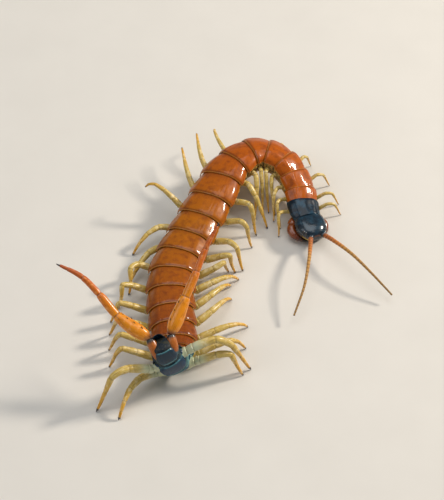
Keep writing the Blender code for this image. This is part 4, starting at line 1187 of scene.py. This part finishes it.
def poison_claw(side):
    """A poison claw: a stout first piece, two short rings and a long curved fang, on the
    smooth line from the side of the first segment to below the head's front."""
    surface = Surface()
    end, way, forward, right, back = claw_root(side)
    start = end + way * 0.1
    points = (start, start + forward * 2.0 + right * side * 0.55 - back * 0.35,
              start + forward * 4.3 - right * side * 0.55 - back * 0.75,
              start + forward * 5.9 - right * side * 2.5 - back * 0.8,
              start + forward * 6.5 - right * side * 4.25 - back * 0.7)
    line = smooth_line(points, 16)
    shares = podomere_shares(CLAW_JOINTS)
    swell, neck = podomere_swell(shares, CLAW_JOINTS, 0.10, 0.03)
    taper = station(CLAW_TAPER, shares)
    neck = neck * (shares < 0.64)
    radii = CLAW_RADIUS * taper * np.where(shares < 0.64, swell, 1.0)
    surface.add_tube(ring_points(at_shares(line, shares), radii, back, 24, 0.95), 0,
                     share=shares[:, None], neck=neck[:, None])
    # The stub on the first segment
    share = np.linspace(0.0, 1.0, 12)
    stub = end + np.outer((share - 1.0) * 3.4, way)
    radius = CLAW_RADIUS * station(((0.0, 0.30), (0.35, 0.75), (0.7, 1.05), (0.85, 1.06), (1.0, 0.98)), share)
    surface.add_tube(ring_points(stub, radius, back, 24), 0, share=0.02, neck=0.0)
    # A blunt tooth on the inner side of the first piece
    place = at_shares(line, [0.22])[0]
    cone(surface, place - right * side * 1.25, unit(-right * side + forward * 0.6), 0.40, 1.2, finish=1,
         share=0.7, neck=0.0)
    return surface


def throat_plate(surface):
    """The plate between the poison claws: a shallow shield under the head, split in front
    by a notch, with four blunt black teeth on each side of it."""
    rows, count = 26, 41
    t = np.linspace(-2.6, 3.1, rows)
    spread = np.linspace(-1.0, 1.0, count)
    half = station(((-2.6, 3.4), (-1.0, 3.9), (0.5, 3.7), (2.0, 2.9), (3.1, 2.2)), t)
    level = station(((-2.6, -3.0), (-0.5, -2.95), (1.5, -2.95), (3.1, -2.75)), t)
    notch = 0.35 * np.exp(-(spread / 0.10) ** 2)[None, :] * smooth_step(0.5, 3.1, t)[:, None]
    edge = np.minimum((1 - np.abs(spread))[None, :] * half[:, None], np.minimum(t + 2.6, 3.1 - t)[:, None])
    thick = 0.32 * edge_round(edge, 0.4)
    grids = []
    for sign in (-0.5, 0.5):
        x = spread[None, :] * half[:, None]
        y = level[:, None] + 0.85 * np.abs(spread[None, :]) ** 2.4 + notch + sign * thick
        grids.append(TRUNK.place(NECK + t[:, None] + np.zeros(count), x, y))
    surface.add_shell(grids[0], grids[1], 0, share=0.30, neck=0.0)
    centre, forward, right, back = TRUNK.frame(NECK + 3.1)
    for side in (-1, 1):
        for tooth in range(4):
            place = centre + right * side * (0.42 + 0.50 * tooth) - back * (2.72 - 0.05 * tooth)
            cone(surface, place, unit(forward - back * 0.05), 0.26, 0.75 - 0.06 * tooth, share=0.9, neck=0.0)


def mouth_feeler(surface, side):
    """A short jaw palp under the head's front, of three pieces, curved in."""
    centre, forward, right, back = TRUNK.frame(NECK + 2.2)
    start = centre + right * side * 2.55 - back * 2.05
    points = (start, start + forward * 2.2 + right * side * 0.15 - back * 0.30,
              start + forward * 3.9 - right * side * 0.75 - back * 0.45,
              start + forward * 4.7 - right * side * 1.7 - back * 0.30)
    line = smooth_line(points, 14)
    joints = (0.0, 0.36, 0.70, 1.0)
    shares = podomere_shares(joints)
    swell, neck = podomere_swell(shares, joints, 0.15, 0.06)
    radii = station(((0.0, 0.52), (0.5, 0.48), (0.85, 0.34), (1.0, 0.06)), shares) * swell
    surface.add_tube(ring_points(at_shares(line, shares), radii, back, 16), 2,
                     share=shares[:, None] * 0.2 + 0.1, turn=0.0, neck=neck[:, None], pair=5.0)


FINISHES = {}
MAKERS = {"plate": plate_material, "skin": skin_material, "belly": belly_material, "leg": leg_material,
          "last_leg": last_leg_material, "horn": horn_material, "eye": eye_material, "head": head_material,
          "feeler": feeler_material, "fang": fang_material, "coxa": coxa_material, "floor": floor_material}


def finish(name):
    """One of the shared materials, made on first use."""
    if name not in FINISHES:
        colours = bpy.context.scene.centipede_colours
        FINISHES[name] = MAKERS[name](colours)
    return FINISHES[name]


def trunk_nodes(number=None):
    """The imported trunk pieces, or the one that holds a segment."""
    names = sorted(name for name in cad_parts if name.startswith("trunk_"))
    if number is None:
        return names
    return [name for name in names if number in (int(name[6:8]), int(name[-2:]))]


class CENTIPEDE_OT_skin(bpy.types.Operator):
    """Build the soft skin of the whole trunk in one piece, with the flank plates on it"""

    bl_idname = "centipede.skin"
    bl_label = "Soft Skin and Flanks"

    def execute(self, context):
        sizes = context.scene.centipede_sizes
        fold = sizes.skin_fold / METRE
        along = np.arange(0.0, NECK - SKIN_STEP, SKIN_STEP)
        rings, depth = skin_rings(along, SKIN_SIDES, fold)
        # The tail's end is closed by rings that shrink as a quarter circle
        turn = np.linspace(0.08, 1.0, CAP_RINGS) * math.pi / 2
        centre, forward, _, _ = TRUNK.frame(0.0)
        cap = (centre + (rings[0] - centre) * np.sin(turn)[:, None, None]
               - forward * (np.cos(turn) * 0.9)[:, None, None])
        rings = np.concatenate([cap[:-1], rings])
        depth = np.concatenate([np.repeat(depth[:1], CAP_RINGS - 1, axis=0), depth])
        share = np.concatenate([np.full(CAP_RINGS - 1, 1.0), (NECK - along) / NECK])
        surface = Surface()
        surface.add_tube(rings, 0, along=share[:, None], fold=depth)
        make_piece("trunk_skin", surface, [finish("skin")], trunk_nodes())
        flanks = Surface()
        # Far from any edge, so that these plates have no rim colour
        inner = {"ends": 1.0, "rear": 1.0, "edge": 1.0}
        for number in range(1, SEGMENTS):
            length = PLATE_LENGTHS[number - 1]
            start = TRUNK.rear[number]
            place = start + float(station(HIP_PLACE, number)) * length
            for side in (1, -1):
                for ahead, half, level, half_level, bulge in FLANKS:
                    flank_patch(flanks, side, place + ahead * length, level, half * length, half_level,
                                bulge, 0, **inner)
                if number in SPIRACLES:
                    hole = place - 0.24 * length
                    flank_patch(flanks, side, hole, 0.14, 0.62, 0.105, 0.42, 0, 0.30, **inner)
                    flank_patch(flanks, side, hole, 0.14, 0.34, 0.05, 0.36, 1)
        make_piece("flank_plates", flanks, [finish("belly"), finish("horn")], trunk_nodes())
        return {"FINISHED"}


class CENTIPEDE_OT_plates(bpy.types.Operator):
    """Build the back plate and the belly plate of every segment"""

    bl_idname = "centipede.plates"
    bl_label = "Back and Belly Plates"

    def execute(self, context):
        sizes = context.scene.centipede_sizes
        for number in range(1, SEGMENTS + 1):
            upper = Surface()
            back_plate(upper, number, sizes)
            make_piece("back_plate_%02d" % number, upper, [finish("plate")], trunk_nodes(number))
            lower = Surface()
            belly_plate(lower, number)
            make_piece("belly_plate_%02d" % number, lower, [finish("belly")], trunk_nodes(number))
        return {"FINISHED"}


class CENTIPEDE_OT_walking_legs(bpy.types.Operator):
    """Build the walking legs, each with its stub, joints, spurs and claw"""

    bl_idname = "centipede.walking_legs"
    bl_label = "Walking Legs"

    def execute(self, context):
        for pair in range(1, WALKING_PAIRS + 1):
            for side, mark in ((1, "r"), (-1, "l")):
                name = "leg_%02d_%s" % (pair, mark)
                make_piece("walking_" + name, walking_leg(pair, side),
                           [finish("leg"), finish("horn"), finish("leg")], [name])
        return {"FINISHED"}


class CENTIPEDE_OT_last_legs(bpy.types.Operator):
    """Build the long last pair of legs, their spines and their swollen bases"""

    bl_idname = "centipede.last_legs"
    bl_label = "Last Legs"

    def execute(self, context):
        sizes = context.scene.centipede_sizes
        for side, mark in ((1, "r"), (-1, "l")):
            make_piece("last_leg_" + mark, last_leg(side, sizes), [finish("last_leg"), finish("horn")],
                       ["leg_21_" + mark])
            make_piece("last_leg_base_" + mark, last_coxa(side), [finish("coxa"), finish("horn")],
                       ["trunk_21"])
        return {"FINISHED"}


class CENTIPEDE_OT_head(bpy.types.Operator):
    """Build the head, its shield, its four eyes on each side, feelers, jaws and poison claws"""

    bl_idname = "centipede.head"
    bl_label = "Head"

    def execute(self, context):
        core = Surface()
        head_core(core)
        make_piece("head_core", core, [finish("head")], ["head"])
        shield = Surface()
        head_shield(shield)
        make_piece("head_shield", shield, [finish("head")], ["head"])
        eyes = Surface()
        for side in (1, -1):
            for t, angle, radius in EYES:
                eye(eyes, side, t, angle, radius)
        make_piece("eyes", eyes, [finish("eye")])
        for side, mark in ((1, "r"), (-1, "l")):
            make_piece("feeler_" + mark, feeler(side), [finish("feeler"), finish("head")],
                       ["antenna_" + mark])
            make_piece("poison_claw_" + mark, poison_claw(side), [finish("fang"), finish("horn")],
                       ["forcipule_" + mark])
        mouth = Surface()
        throat_plate(mouth)
        for side in (1, -1):
            mouth_feeler(mouth, side)
        make_piece("mouth_parts", mouth, [finish("fang"), finish("horn"), finish("leg")])
        return {"FINISHED"}


class CENTIPEDE_OT_stage(bpy.types.Operator):
    """Set the plain floor, the soft lights and the camera"""

    bl_idname = "centipede.stage"
    bl_label = "Floor, Light and Camera"

    def execute(self, context):
        scene = context.scene
        sizes = scene.centipede_sizes
        mesh = bpy.data.meshes.new("floor")
        corners = [(x * FLOOR_HALF, y * FLOOR_HALF, 0.0) for x, y in ((-1, -1), (1, -1), (1, 1), (-1, 1))]
        mesh.from_pydata(corners, [], [(0, 1, 2, 3)])
        mesh.materials.append(finish("floor"))
        floor = bpy.data.objects.new("floor", mesh)
        scene.collection.objects.link(floor)
        # A key from the right, a broad fill from the left and a soft light from above
        for name, place, size, power, colour in LIGHTS:
            data = bpy.data.lights.new(name, "AREA")
            data.shape = "SQUARE"
            data.size = size
            data.energy = power
            data.color = srgb(colour)[:3]
            lamp = bpy.data.objects.new(name, data)
            lamp.location = place
            lamp.rotation_euler = aim(np.array(place), np.zeros(3))
            scene.collection.objects.link(lamp)
        world = bpy.data.worlds.new("studio")
        world.use_nodes = True
        world.node_tree.nodes["Background"].inputs["Color"].default_value = srgb(WORLD_COLOUR)
        world.node_tree.nodes["Background"].inputs["Strength"].default_value = WORLD_STRENGTH
        scene.world = world
        scene.view_settings.view_transform = "Standard"
        data = bpy.data.cameras.new("camera")
        data.sensor_fit = "VERTICAL"
        data.sensor_height = CAMERA_SENSOR
        data.lens = CAMERA_LENS
        data.clip_end = 10.0
        camera = bpy.data.objects.new("camera", data)
        look = np.array([0.0, math.cos(sizes.camera_height), -math.sin(sizes.camera_height)])
        target = np.array([-MIDDLE_X, -MIDDLE_Y, 0.0]) * METRE
        camera.location = target - look * sizes.camera_distance
        camera.rotation_euler = (math.pi / 2 - sizes.camera_height, 0.0, 0.0)
        scene.collection.objects.link(camera)
        scene.camera = camera
        return {"FINISHED"}


def aim(place, target):
    """Turn of a light that looks from place to target along its own -Z."""
    way = target - place
    flat = math.hypot(way[0], way[1])
    return (math.atan2(flat, -way[2]), 0.0, math.atan2(-way[0], way[1]))


class CENTIPEDE_PT_panel(bpy.types.Panel):
    """Lists the centipede's sizes, colours and pieces"""

    bl_idname = "CENTIPEDE_PT_panel"
    bl_label = "Giant Centipede"
    bl_space_type = "VIEW_3D"
    bl_region_type = "UI"
    bl_category = "Centipede"

    def draw(self, context):
        layout = self.layout
        for group in (context.scene.centipede_sizes, context.scene.centipede_colours):
            box = layout.box()
            for name in group.__annotations__:
                box.prop(group, name)
        for operator in OPERATORS:
            layout.operator(operator.bl_idname)


OPERATORS = (CENTIPEDE_OT_skin, CENTIPEDE_OT_plates, CENTIPEDE_OT_walking_legs, CENTIPEDE_OT_last_legs,
             CENTIPEDE_OT_head, CENTIPEDE_OT_stage)
CLASSES = (CentipedeSizes, CentipedeColours) + OPERATORS + (CENTIPEDE_PT_panel,)


def register():
    for each in CLASSES:
        bpy.utils.register_class(each)
    bpy.types.Scene.centipede_sizes = bpy.props.PointerProperty(type=CentipedeSizes)
    bpy.types.Scene.centipede_colours = bpy.props.PointerProperty(type=CentipedeColours)


def unregister():
    del bpy.types.Scene.centipede_sizes
    del bpy.types.Scene.centipede_colours
    for each in reversed(CLASSES):
        bpy.utils.unregister_class(each)


def main():
    register()
    bpy.ops.centipede.skin()
    bpy.ops.centipede.plates()
    bpy.ops.centipede.walking_legs()
    bpy.ops.centipede.last_legs()
    bpy.ops.centipede.head()
    bpy.ops.centipede.stage()


if __name__ == "__main__":
    main()
